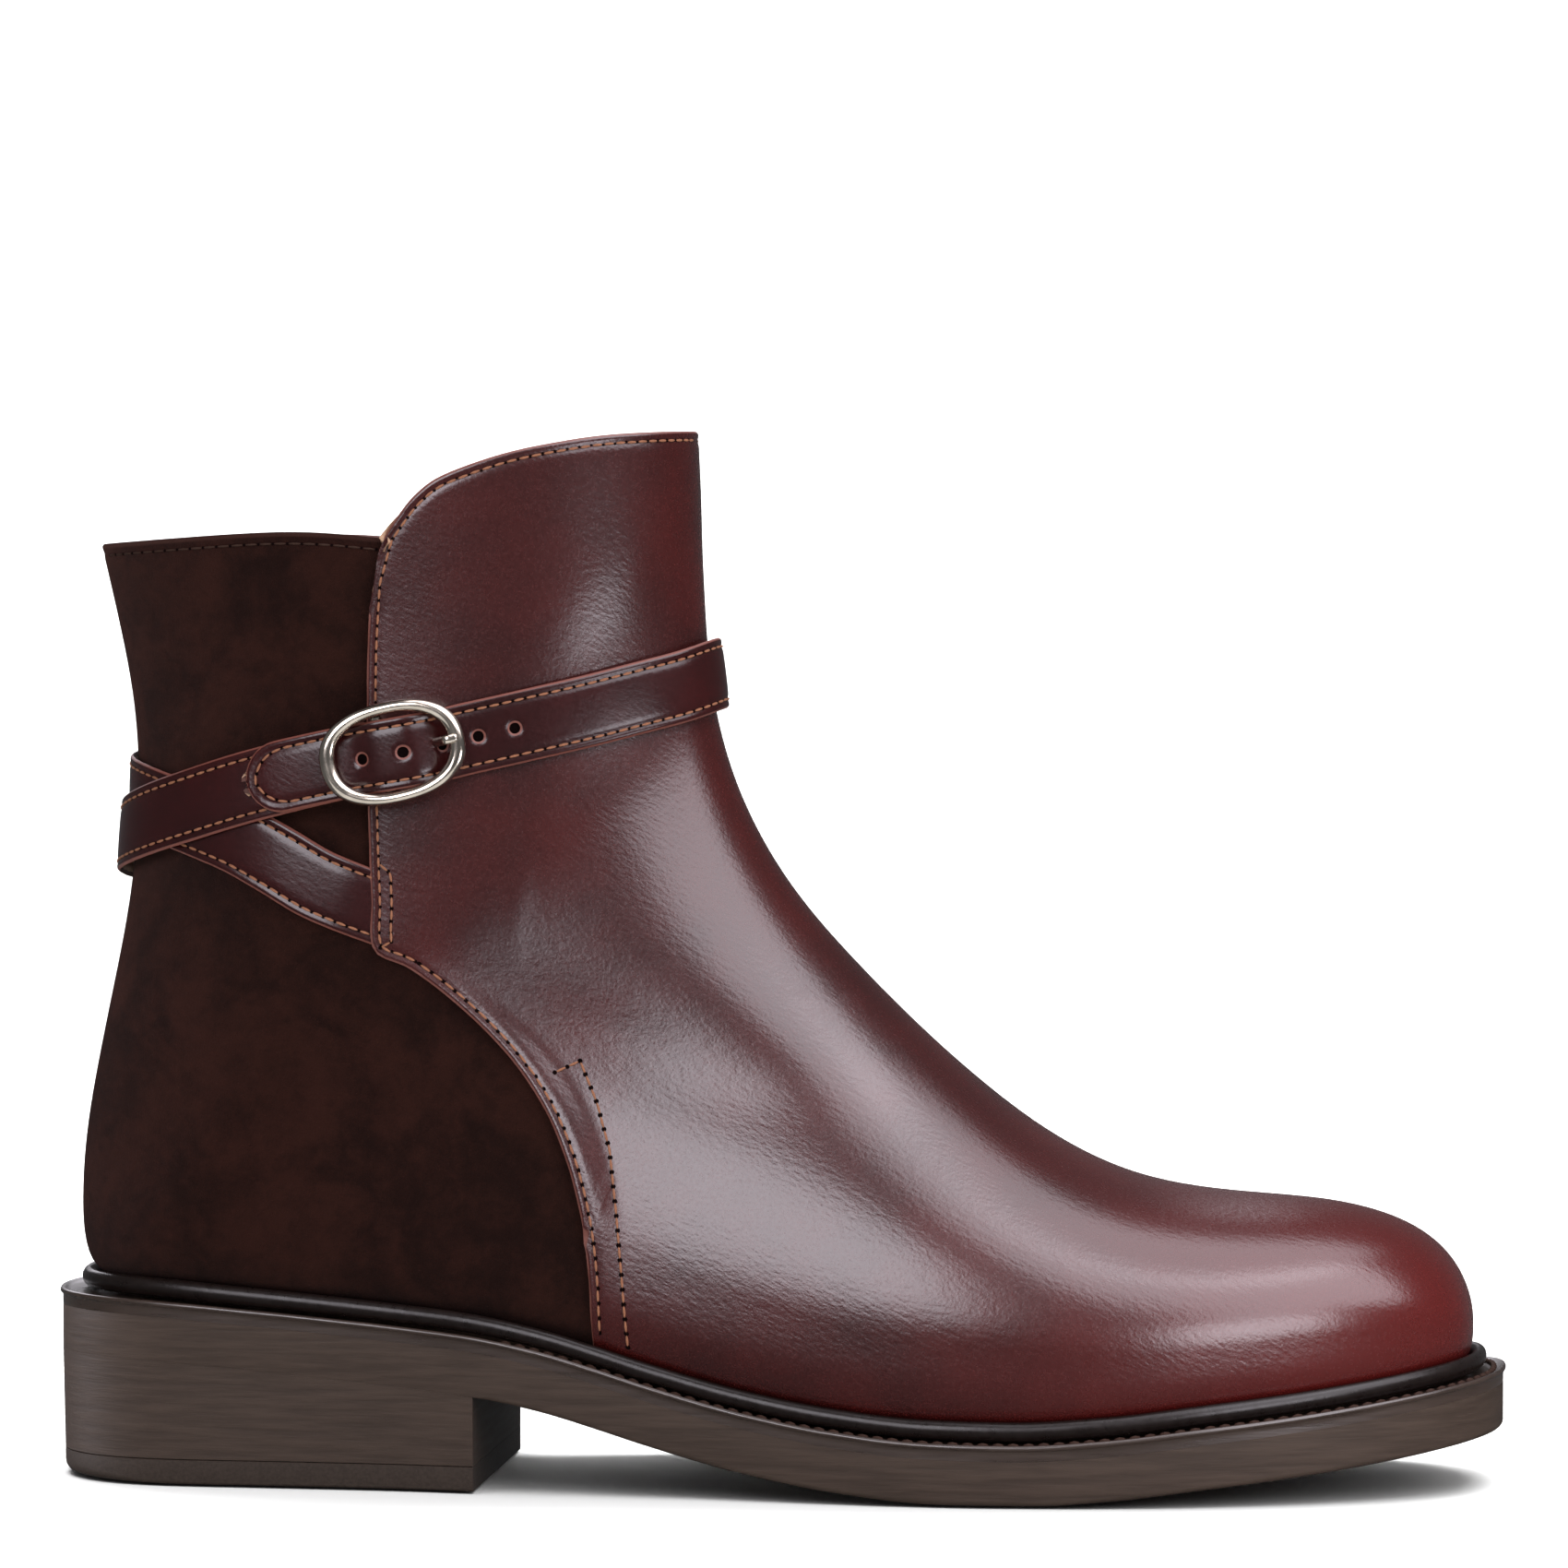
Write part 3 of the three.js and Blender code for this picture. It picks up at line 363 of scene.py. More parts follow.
def zero_share(a, b):
    """Where a line from value a to value b is zero, as a share of the way."""
    return np.clip(a / np.where(a - b == 0, 1, a - b), 0, 1)


def first_crossing(values, along):
    """Where each row of values first drops below zero."""
    below = values < 0
    i = np.where(below.any(axis=1), below.argmax(axis=1), values.shape[1] - 1)
    i = np.maximum(i, 1)
    rows = np.arange(len(values))
    t = np.where(below.any(axis=1), zero_share(values[rows, i - 1], values[rows, i]), 1.0)
    return along[i - 1] + t * (along[i] - along[i - 1])


def last_crossing(values, along):
    """Where each row of values drops below zero for good."""
    above = values > 0
    i = values.shape[1] - 1 - above[:, ::-1].argmax(axis=1)
    j = np.minimum(i + 1, values.shape[1] - 1)
    rows = np.arange(len(values))
    t = np.where(j > i, zero_share(values[rows, i], values[rows, j]), 0)
    return along[i] + t * (along[j] - along[i])


# Rows of the last, high and low on the shaft, from which an upper edge is looked for
HIGH_ROW = 23.0
LOW_ROW = 20.0


class Cover:
    """A leather sheet on the last, from the toe tip to an upper edge and out to a reach on each side."""

    def __init__(self, offset, rear_edge):
        self.offset = offset
        self.rear_edge = rear_edge
        self.places = np.linspace(0, LAST_END - 0.5, SECTION_LINES)
        self.reach = {side: self.find_reach(side) for side in (-1, 1)}
        inside = ahead_of_rear if rear_edge else below_collar
        high = np.linspace(HIGH_ROW if rear_edge else LOW_ROW, LAST_END - 0.05, SHAFT_LINES)
        self.around = np.linspace(-180, 180, AROUND_LINES)
        spots = skin_point(high[None, :], self.around[:, None], self.offset)
        self.top_line = first_crossing(inside(spots), high)
        if rear_edge:
            self.corner = {side: self.find_corner(side) for side in (-1, 1)}
            for side in (-1, 1):
                place, turn = self.corner[side]
                self.reach[side] = np.where(self.places > place, turn, self.reach[side])
        lines = [self.spot_line(share) for share in (-1, -0.5, 0, 0.5, 1)]
        steps = [np.linalg.norm(np.diff(line, axis=0), axis=1) for line in lines]
        self.arc = np.concatenate([[0], np.cumsum(np.max(steps, axis=0) + 0.02)])
        self.even = {side: self.find_even(side) for side in (-1, 1)}

    def spot_line(self, share):
        side = -1 if share < 0 else 1
        return last_point(self.places, side * abs(share) * self.reach[side])

    def find_reach(self, side):
        """Turns where the sheet ends on one side: just above the sole or at the rear edge."""
        if not self.rear_edge:
            return np.full(len(self.places), 180.0)
        turns = np.linspace(0, 180, TURN_LINES)
        spots = skin_point(self.places[:, None], side * turns[None, :], self.offset)
        above_seat = spots[..., 2] - seat(spots[..., 0]) - 0.8
        return last_crossing(np.minimum(above_seat, ahead_of_rear(spots)), turns)

    def find_corner(self, side):
        """Place and turn where the rear edge meets the flap."""
        turns = np.linspace(98, 60, 400)
        places = self.top_place(side * turns)
        heights = skin_point(places, side * turns, self.offset)[:, 2]
        turn = np.interp(BACK_HEIGHT, heights, turns)
        return self.top_place(side * turn), turn

    def find_even(self, side):
        """Turns that share out the distance round each section evenly."""
        shares = np.linspace(0, 1, SHARE_STEPS + 1)
        fine = np.linspace(0, 1, AROUND_LINES)
        turns = side * fine[None, :] * self.reach[side][:, None]
        spots = last_point(self.places[:, None], turns)
        steps = np.linalg.norm(np.diff(spots, axis=1), axis=2)
        lengths = np.concatenate([np.zeros((len(spots), 1)), np.cumsum(steps, axis=1)], axis=1)
        table = np.empty((len(spots), len(shares)))
        for row, (length, turn) in enumerate(zip(lengths, turns)):
            if length[-1] > 1e-6:
                table[row] = np.interp(shares, length / length[-1], turn)
            else:
                table[row] = shares * turn[-1]
        return table

    def even_turn(self, place, share):
        """The turn that lies a share of the way round the section at a place."""
        count = len(self.places)
        i = np.clip(np.interp(place, self.places, np.arange(count)), 0, count - 1.001)
        j = np.clip(np.abs(share) * SHARE_STEPS, 0, SHARE_STEPS - 0.001)
        i0 = i.astype(int)
        j0 = j.astype(int)
        fi = i - i0
        fj = j - j0
        turns = np.zeros(np.shape(share))
        for side in (-1, 1):
            table = self.even[side]
            low = table[i0, j0] * (1 - fj) + table[i0, j0 + 1] * fj
            high = table[i0 + 1, j0] * (1 - fj) + table[i0 + 1, j0 + 1] * fj
            turns = np.where((share < 0) == (side < 0), low * (1 - fi) + high * fi, turns)
        return turns

    def top_place(self, turn):
        return np.interp(turn, self.around, self.top_line)

    def spot(self, across, along):
        """Place and turn of a spot: across from -1 to 1, along from 0 at the toe to 1 at the upper edge."""
        if self.rear_edge:
            start = np.where(across < 0, self.corner[-1][0], self.corner[1][0])
        else:
            start = np.full(np.shape(across), HIGH_ROW)
        guess = self.top_place(self.even_turn(start, across))
        flat = np.interp(along * np.interp(guess, self.places, self.arc), self.arc, self.places)
        turn = self.even_turn(flat, across)
        if self.rear_edge:
            limit = np.where(flat > start - 0.06, self.corner[1][1], 180)
            turn = np.clip(turn, -limit, limit)
        lift = smooth_step(0.8, 1.0, along) * (self.top_place(turn) - guess)
        return flat + lift, turn


# Outlines seen from above

def lengths_along(points):
    return np.concatenate([[0], np.cumsum(np.linalg.norm(np.diff(points, axis=0), axis=1))])


def read_path(points, lengths, at):
    """The points of a path at the given lengths along it."""
    return np.stack([np.interp(at, lengths, column) for column in points.T], axis=-1)


def even_path(points, count):
    lengths = lengths_along(points)
    return read_path(points, lengths, np.linspace(0, lengths[-1], count + 1))


def even_loop(points, count):
    return even_path(np.vstack([points, points[:1]]), count)[:-1]


def move_loop(loop, distance):
    """The loop moved outwards, by a number or by one distance for each point."""
    along = unit(np.roll(loop, -1, axis=0) - np.roll(loop, 1, axis=0))
    outwards = np.stack([-along[:, 1], along[:, 0]], axis=1)
    return loop + outwards * np.broadcast_to(np.asarray(distance, float), len(loop))[:, None]


def above_rand(place, turn):
    points = last_point(place, turn)
    return points[..., 2] - seat(points[..., 0]) - RAND_HEIGHT


def foot_side(side):
    """Where the last meets the top of the rand along one side, from the toe to the heel."""
    places = np.arange(0.05, 17, 0.1)
    places = places[(above_rand(places, 90 * side) > 0) & (above_rand(places, 180 * side) < 0)]
    low = np.full(len(places), 180.0)
    high = np.full(len(places), 90.0)
    for _ in range(30):
        middle = (low + high) / 2
        above = above_rand(places, middle * side) > 0
        high = np.where(above, middle, high)
        low = np.where(above, low, middle)
    return last_point(places, high * side)[:, :2]


def foot_end(high, low):
    for _ in range(30):
        middle = (low + high) / 2
        if above_rand(middle, 180) > 0:
            high = middle
        else:
            low = middle
    return last_point(high, 180)[None, :2]


def smooth_loop(loop, rounds):
    for _ in range(rounds):
        loop = 0.5 * loop + 0.25 * np.roll(loop, 1, axis=0) + 0.25 * np.roll(loop, -1, axis=0)
    return loop


def vamp_lift(x):
    return VAMP_TOP * smooth_step(0.24 * SOLE_LENGTH, 0.37 * SOLE_LENGTH, x)


def margin_at(x):
    return WELT_MARGIN * read_rows(MARGIN_ROWS, 1, np.asarray(x) / SOLE_LENGTH)


LOOP_STATIONS = 480
foot_loop = smooth_loop(even_loop(np.vstack([
    foot_end(20, 12), foot_side(1)[::-1], foot_end(0, 3), foot_side(-1),
]), LOOP_STATIONS), 6)
upper_loop = move_loop(foot_loop, vamp_lift(foot_loop[:, 0]))
sole_loop = smooth_loop(even_loop(move_loop(upper_loop, margin_at(upper_loop[:, 0])), LOOP_STATIONS), 3)


def side_path(loop, side, to_x, count):
    """One side of a loop from the heel end to the toe end or to a given x."""
    heel = int(np.argmin(loop[:, 0]))
    toe = int(np.argmax(loop[:, 0]))
    steps = (toe - heel) * side % len(loop)
    points = loop[(heel + side * np.arange(steps + 1)) % len(loop)]
    past = np.nonzero(points[:, 0] > to_x)[0]
    if len(past):
        a = points[past[0] - 1]
        b = points[past[0]]
        cut = a + (b - a) * (to_x - a[0]) / (b[0] - a[0])
        points = np.vstack([points[:past[0]], cut])
    return even_path(points, count)


# Shaping

def lay_sheet(mesh, columns, rows, place):
    """A grid of faces laid over a surface: place turns its corners' coordinates, 0 to 1, into points."""
    corners = bmesh.ops.create_grid(mesh, x_segments=columns, y_segments=rows, size=0.5)["verts"]
    across = np.array([corner.co.x + 0.5 for corner in corners])
    along = np.array([corner.co.y + 0.5 for corner in corners])
    for corner, point in zip(corners, place(across, along)):
        corner.co = point


def lay_rings(mesh, rings):
    """A sheet through a table of points: rings[i][k] is corner k of ring i."""
    last_ring = len(rings) - 1
    last_corner = len(rings[0]) - 1
    table = np.asarray(rings)

    def place(across, along):
        return table[np.rint(along * last_ring).astype(int), np.rint(across * last_corner).astype(int)]

    lay_sheet(mesh, last_corner, last_ring, place)


def mark(mesh, name, values):
    layer = mesh.verts.layers.float.new(name)
    for corner, value in zip(mesh.verts, values):
        corner[layer] = value


def face_away(mesh, inside):
    """Turns an open sheet's faces away from a point inside it."""
    inside = Vector(inside)
    outwards = 0.0
    for face in mesh.faces:
        outwards += face.normal.dot(face.calc_center_median() - inside) * face.calc_area()
    if outwards < 0:
        bmesh.ops.reverse_faces(mesh, faces=mesh.faces)


MERGE_REACH = 0.01


def close_up(mesh):
    bmesh.ops.remove_doubles(mesh, verts=mesh.verts, dist=MERGE_REACH)
    bmesh.ops.dissolve_degenerate(mesh, edges=mesh.edges, dist=MERGE_REACH)
    bmesh.ops.recalc_face_normals(mesh, faces=mesh.faces)


def finish_piece(name, mesh, materials, nodes=(), wall=0.0, sharp=50):
    """The mesh as a piece of the boot in metres. A sheet's wall is laid inwards."""
    bmesh.ops.translate(mesh, vec=-SOLE_MIDDLE, verts=mesh.verts)
    bmesh.ops.scale(mesh, vec=(MILLIMETRE,) * 3, verts=mesh.verts)
    data = bpy.data.meshes.new(name)
    mesh.to_mesh(data)
    mesh.free()
    piece = bpy.data.objects.new(name, data)
    bpy.context.scene.collection.objects.link(piece)
    for material in materials:
        data.materials.append(material)
    if wall:
        solid = piece.modifiers.new("wall", "SOLIDIFY")
        solid.thickness = wall * MILLIMETRE
        solid.offset = -1
        solid.use_rim = True
        solid.material_offset = 1
        solid.material_offset_rim = 2
        bpy.context.view_layer.update()
        shaped = piece.evaluated_get(bpy.context.evaluated_depsgraph_get())
        whole = bpy.data.meshes.new_from_object(shaped)
        piece.modifiers.clear()
        piece.data = whole
        whole.name = name
        bpy.data.meshes.remove(data)
    for polygon in piece.data.polygons:
        polygon.use_smooth = True
    piece.data.set_sharp_from_angle(angle=math.radians(sharp))
    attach(piece, "root")
    if nodes:
        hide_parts(*nodes)
    return piece


def fine_ends(count, widths, length):
    """Grid lines from 0 to 1 that close up towards 1 at the given distances from the edge."""
    ends = 1 - np.array(sorted(widths, reverse=True)) / length
    even = np.linspace(0, ends[0], count - len(ends) + 2)
    return np.concatenate([even[:-1], ends])


# Grid lines beside a cut edge, how far it is rounded over, and the seam beside it with its furrow
EDGE_LINES = [0.0, 0.2, 0.45, 0.8, 1.2, 1.6, 2.0, 2.5, 3.2]
EDGE_ROUND = 0.7
SEAM_INSET = 1.7
SEAM_DEPTH = 0.22
SEAM_WIDTH = 0.55


def edge_drop(distance):
    """How far a sheet's face falls away at its cut edge and sinks along the seam beside it."""
    inside = np.clip(distance / EDGE_ROUND, 0, 1)
    roll = EDGE_ROUND * (1 - np.sqrt(1 - (1 - inside)**2))
    return roll + SEAM_DEPTH * np.exp(-((distance - SEAM_INSET) / SEAM_WIDTH)**2)


# Soft troughs and ridges of the leather: x, z, the way it runs in degrees, half length, half width, depth
CREASES = [
    (121.0, 80.0, -20.0, 30.0, 10.0, 1.7),
    (117.0, 65.0, -22.0, 32.0, 20.0, 1.5),
    (92.5, 116.0, 86.0, 13.0, 1.8, 0.14),
    (150.0, 92.5, 4.0, 6.0, 0.9, 0.12),
]


def crease_depth(points):
    depth = np.zeros(points.shape[:-1])
    for x, z, way, length, width, deep in CREASES:
        c = math.cos(math.radians(way))
        s = math.sin(math.radians(way))
        along = (points[..., 0] - x) * c + (points[..., 2] - z) * s
        beside = -(points[..., 0] - x) * s + (points[..., 2] - z) * c
        depth += deep * np.exp(-(along / length)**2 - (beside / width)**2)
    return depth


def nearest_distance(points, edge_points):
    tree = KDTree(len(edge_points))
    for i, point in enumerate(edge_points):
        tree.insert(point, i)
    tree.balance()
    return np.array([tree.find(point)[2] for point in points])


# The upper

vamp_cover = Cover(VAMP_TOP, True)
shell_cover = Cover(0.0, False)
EDGE_STEPS = 1800
REAR_STEPS = 1600
HALF_GIRTH = 80
SHEET_LENGTH = 300


def cover_points(cover, across, along):
    """Points on a cover's outer face."""
    return skin_point(*cover.spot(across, along), np.full(len(across), cover.offset))


def cover_edge(cover):
    """Points close together along a cover's cut edges."""
    edges = [cover_points(cover, np.linspace(-1, 1, EDGE_STEPS), np.ones(EDGE_STEPS))]
    if cover.rear_edge:
        for side in (-1.0, 1.0):
            rear = cover_points(cover, np.full(REAR_STEPS, side), np.linspace(0, 1, REAR_STEPS))
            edges.append(rear[ahead_of_rear(rear) < 0.4])
    return np.vstack(edges)


def hollow_depth(points):
    """Depth of the creases, which fade out at the vamp's rear edge."""
    return crease_depth(points) * smooth_step(1, 9, ahead_of_rear(points))


def make_vamp(materials):
    half = 70
    rows = 210
    columns = fine_ends(half, EDGE_LINES, HALF_GIRTH)
    lines = fine_ends(rows, EDGE_LINES, SHEET_LENGTH)
    mesh = bmesh.new()

    def place(across, along):
        signed = 2 * across - 1
        share = np.sign(signed) * columns[np.rint(np.abs(signed) * half).astype(int)]
        line = lines[np.rint(along * rows).astype(int)]
        face = cover_points(vamp_cover, share, line)
        place.edge = nearest_distance(face, cover_edge(vamp_cover))
        drop = edge_drop(place.edge) + hollow_depth(face)
        rim = cover_points(vamp_cover, np.sign(signed), line)
        on_rear = smooth_step(1, 3, rim[:, 2] - seat(rim[:, 0])) * (rim[:, 2] < BACK_HEIGHT - 2)
        stray = np.clip(ahead_of_rear(rim), -0.6, 0.6) * on_rear * smooth_step(0.8, 1, np.abs(share))
        points = skin_point(*vamp_cover.spot(share, line), VAMP_TOP - drop)
        points[:, 0] -= stray
        return points

    lay_sheet(mesh, 2 * half, rows, place)
    mark(mesh, "edge", place.edge)
    bmesh.ops.remove_doubles(mesh, verts=mesh.verts, dist=MERGE_REACH)
    face_away(mesh, (150, 0, 40))
    tree = BVHTree.FromBMesh(mesh)
    finish_piece("vamp_leather", mesh, materials, ["vamp"], VAMP_LEATHER - 0.1)
    return tree


def make_upper(materials):
    columns = 150
    rows = 170
    edge_softness = 0.7
    lines = fine_ends(rows, EDGE_LINES, SHEET_LENGTH)
    mesh = bmesh.new()

    def place(across, along):
        spots = shell_cover.spot(2 * across - 1, lines[np.rint(along * rows).astype(int)])
        face = skin_point(*spots, np.zeros(len(across)))
        place.edge = nearest_distance(face, cover_edge(shell_cover))
        return skin_point(*spots, -edge_softness * edge_drop(place.edge) - hollow_depth(face))

    lay_sheet(mesh, columns, rows, place)
    mark(mesh, "edge", place.edge)
    bmesh.ops.remove_doubles(mesh, verts=mesh.verts, dist=MERGE_REACH)
    face_away(mesh, (120, 0, 40))
    middles = {face: face.calc_center_median() for face in mesh.faces}
    under = [
        face for face, middle in middles.items()
        if face.normal.z < -0.85 and middle.z < seat(middle.x) + 2.5
    ]
    bmesh.ops.delete(mesh, geom=under, context="FACES")
    tree = BVHTree.FromBMesh(mesh)
    return finish_piece("quarter_suede", mesh, materials, ["upper"], SHELL_WALL), tree


# The sole

def band(name, loop, profile, materials, slot):
    """A band swept round a loop: its profile lists distances out from the loop and heights above the seat."""
    rings = []
    for out, height in profile + profile[:1]:
        distance = out(loop[:, 0]) if callable(out) else out
        ring = move_loop(loop, distance)
        ring = np.vstack([ring, ring[:1]])
        rings.append(np.column_stack([ring, seat(ring[:, 0]) + height]))
    mesh = bmesh.new()
    lay_rings(mesh, rings)
    close_up(mesh)
    return finish_piece(name, mesh, materials, [name], sharp=60)


def circle(steps):
    """Cosine and sine round a circle, back at the first."""
    angles = [2 * math.pi * k / steps for k in range(steps + 1)]
    return [(math.cos(angle), math.sin(angle)) for angle in angles]


BAND_STATIONS = 360
RAND_OUT = 1.75
RAND_UP = 2.1
RAND_HALF_WIDTH = 1.5
RAND_HALF_HEIGHT = 1.8


def make_rand(materials):
    profile = [(RAND_OUT + RAND_HALF_WIDTH * c, RAND_UP + RAND_HALF_HEIGHT * s) for c, s in circle(16)[:-1]]
    return band("rand", even_loop(upper_loop, BAND_STATIONS), profile, materials, "rand_leather")


# The welt's edge from its underside up: distance inside the full margin, height under its top
WELT_EDGE = [
    (0.50, -3.00), (0.50, -1.90), (0.50, -1.30), (0.42, -1.12), (0.16, -0.98), (0.02, -0.75), (0.02, -0.45),
    (0.16, -0.18), (0.42, -0.03), (0.72, -0.03), (1.05, -0.20), (1.50, -0.45), (2.30, -0.62), (3.40, -0.55),
]


def make_welt(materials):
    profile = [(-WELT_TUCK, 0.0), (-WELT_TUCK, -WELT_THICKNESS)]
    for inwards, height in WELT_EDGE:
        profile.append((lambda x, inwards=inwards: margin_at(x) - inwards, height))
    return band("welt", even_loop(upper_loop, BAND_STATIONS), profile, materials, "welt_leather")


SOLE_STATIONS = 150
HEEL_STATIONS = 70
BREAST_STEPS = 9


def plate(name, layers, to_x, count, materials):
    """A closed plate that follows the sole's outline: layers run from the bottom up with inset and height."""
    mesh = bmesh.new()
    walls = []
    breast = np.linspace(0, 1, BREAST_STEPS + 1)[1:-1]
    for inset, height in layers:
        moved = move_loop(sole_loop, -(inset(sole_loop[:, 0]) if callable(inset) else inset))
        right = side_path(moved, 1, to_x, count)
        left = side_path(moved, -1, to_x, count)
        across = right[-1] + breast[:, None] * (left[-1] - right[-1])
        ring = np.vstack([right, across, left[::-1]])
        walls.append(np.column_stack([ring, height(ring[:, 0])]))
    lay_rings(mesh, walls)
    for wall in (walls[0], walls[-1]):
        right = wall[:count + 1]
        left = wall[count + 1 + len(breast):][::-1]
        shares = np.concatenate([[0], breast, [1]])[:, None, None]
        lay_rings(mesh, right[None] + shares * (left - right)[None])
    close_up(mesh)
    return finish_piece(name, mesh, materials, [name], sharp=45)


def rounded_layers(bottom, top, inset, radius, steps=4):
    """Layers of a plate with a rounded lower edge: the radius is read along the sole."""
    layers = []
    for k in range(steps + 1):
        angle = math.radians(90 * k / steps)
        layers.append((
            lambda x, part=1 - math.sin(angle): inset + radius(x) * part,
            lambda x, part=1 - math.cos(angle): bottom(x) + radius(x) * part,
        ))
    layers.append((inset, top))
    return layers


def level(height):
    """The same height all along the sole."""
    return lambda x: np.full(len(x), height)


def outsole_top(x):
    return seat(x) - WELT_THICKNESS - 0.02


def outsole_rounding(x):
    """The outsole's lower edge is rounded in front of the heel and square on it."""
    return 0.03 + 0.9 * smooth_step(HEEL_LENGTH - 1, HEEL_LENGTH + 4, x)


def make_outsole(materials):
    layers = rounded_layers(underside, outsole_top, EDGE_INSET, outsole_rounding)
    return plate("outsole", layers, math.inf, SOLE_STATIONS, materials)


HEEL_CHAMFER = 0.2


def make_heel_stack(materials):
    foot = TOP_PIECE + 0.05
    layers = [
        (EDGE_INSET + HEEL_TAPER + HEEL_CHAMFER, level(foot)),
        (EDGE_INSET + HEEL_TAPER, level(foot + 0.1)),
        (EDGE_INSET + 0.5 * HEEL_TAPER, lambda x: 0.5 * (foot + underside(x))),
        (EDGE_INSET, lambda x: underside(x) - 0.01),
    ]
    return plate("heel_stack", layers, HEEL_LENGTH, HEEL_STATIONS, materials)


def top_piece_rounding(x):
    """The top piece is worn rounder towards the back."""
    return 0.5 + 1.7 * smooth_step(26, 4, x)


def make_top_piece(materials):
    inset = EDGE_INSET + HEEL_TAPER
    layers = rounded_layers(np.zeros_like, level(TOP_PIECE - 0.1), inset, top_piece_rounding)
    layers.append((inset + HEEL_CHAMFER, level(TOP_PIECE)))
    return plate("heel_top_piece", layers, HEEL_LENGTH, HEEL_STATIONS, materials)


def make_insole(materials):
    bottom = 2 * GAP + SHELL_WALL
    mesh = bmesh.new()
    count = 90
    walls = []
    top = bottom + INSOLE_THICKNESS
    for inset, height in ((3.5, bottom), (3.2, bottom + 0.6), (3.2, top - 0.7), (3.6, top)):
        moved = move_loop(foot_loop, -inset)
        ring = np.vstack([side_path(moved, 1, math.inf, count), side_path(moved, -1, math.inf, count)[::-1]])
        walls.append(np.column_stack([ring, seat(ring[:, 0]) + height]))
    lay_rings(mesh, walls)
    for wall in (walls[0], walls[-1]):
        right = wall[:count + 1]
        left = wall[count + 1:][::-1]
        lay_rings(mesh, right[None] + np.linspace(0, 1, 11)[:, None, None] * (left - right)[None])
    close_up(mesh)
    return finish_piece("insole", mesh, materials, ["insole"])


# The straps

STRAP_STEPS = 1400
SPINE_STEPS = 900
SETTLE_STEPS = 15
SEWN_FADE = 11
SEWN_SINK = 0.9
VAMP_LAYER = VAMP_LEATHER + GAP
STRAP_LAYER = STRAP_LEATHER + GAP
BAR_LIFT = VAMP_LAYER + 2 * GAP + 0.65 * BAR_DIAMETER
BAR_LAYER = BAR_LIFT + 0.5 * BAR_DIAMETER + 2 * GAP - STRAP_GAP - VAMP_LAYER
FRAME_SINK = 0.35
FRAME_LIFT = STRAP_GAP + 3 * STRAP_LAYER + 0.5 * WIRE_THICKNESS - FRAME_SINK
SHAFT_START = 14.5


def shaft_place(turn, height):
    low = np.full(np.shape(turn), SHAFT_START)
    high = np.full(np.shape(turn), LAST_END - 0.1)
    for _ in range(40):
        middle = (low + high) / 2
        below = last_point(middle, turn)[..., 2] < height
        low = np.where(below, middle, low)
        high = np.where(below, high, middle)
    return low


class Strap:
    """A strap's route on the shaft, read by the distance along it and across it."""

    def __init__(self, rows, sink, tip):
        keys = np.column_stack([-rows[:, 0], rows[:, 1:]])
        key = np.linspace(keys[0, 0], keys[-1, 0], STRAP_STEPS)
        turn = -key
        place = shaft_place(turn, rise(read_rows(keys, 1, key)))
        layers = read_rows(keys, 2, key) * VAMP_LAYER + read_rows(keys, 3, key) * STRAP_LAYER
        lift = STRAP_GAP + layers + read_rows(keys, 4, key) * BAR_LAYER
        normal = last_normal(place, turn)
        spine = last_point(place, turn) + normal * lift[:, None]
        lengths = lengths_along(spine)
        self.length = lengths[-1]
        fade = 1 - smooth_step(0, SEWN_FADE, lengths)
        far_fade = 1 - smooth_step(0, SEWN_FADE, self.length - lengths)
        spine = spine - normal * (fade * sink[0] + far_fade * sink[1])[:, None]
        self.at = np.linspace(0, self.length, SPINE_STEPS)
        self.spine = self.settle(read_path(spine, lengths, self.at))
        normal = self.settle(read_path(normal, lengths, self.at))
        along = unit(np.gradient(self.spine, axis=0))
        self.across = unit(np.cross(normal, along))
        self.out = np.cross(along, self.across)
        self.tip = tip

    def settle(self, points):
        """The points with small steps evened out, all but those at the two ends."""
        kernel = np.hanning(SETTLE_STEPS) / np.hanning(SETTLE_STEPS).sum()
        reach = SETTLE_STEPS // 2
        padded = np.pad(points, ((reach, reach), (0, 0)), mode="edge")
        smooth = np.stack([np.convolve(padded[:, k], kernel, mode="valid") for k in range(3)], axis=1)
        smooth[:reach] = points[:reach]
        smooth[-reach:] = points[-reach:]
        return smooth

    def half_width(self, at):
        if not self.tip:
            return np.full(np.shape(at), 0.5 * STRAP_WIDTH)
        round_it = np.clip((self.length - at) / self.tip, 0, 1)
        return 0.5 * STRAP_WIDTH * np.sqrt(np.maximum(0.0, 1 - (1 - round_it)**2))

    def point(self, at, beside, height):
        """A point at a distance along, a distance beside the middle line and a height above its underside."""
        spine = read_path(self.spine, self.at, at)
        side = unit(read_path(self.across, self.at, at))
        out = unit(read_path(self.out, self.at, at))
        return spine + side * np.asarray(beside)[..., None] + out * np.asarray(height)[..., None]


wrap_strap = Strap(WRAP_ROWS, (SEWN_SINK, 0.0), 0.5 * STRAP_WIDTH)
buckle_strap = Strap(BUCKLE_ROWS, (0.0, SEWN_SINK), 0.0)


def strap_face(strap, at, beside):
    """Points on a strap's outer face."""
    return strap.point(at, beside, np.full(len(at), STRAP_LEATHER))


def strap_edge(strap):
    """Points close together along a strap's two cut edges."""
    at = np.linspace(0, strap.length, 2 * EDGE_STEPS)
    return np.vstack([strap_face(strap, at, strap.half_width(at) * side) for side in (-1, 1)])


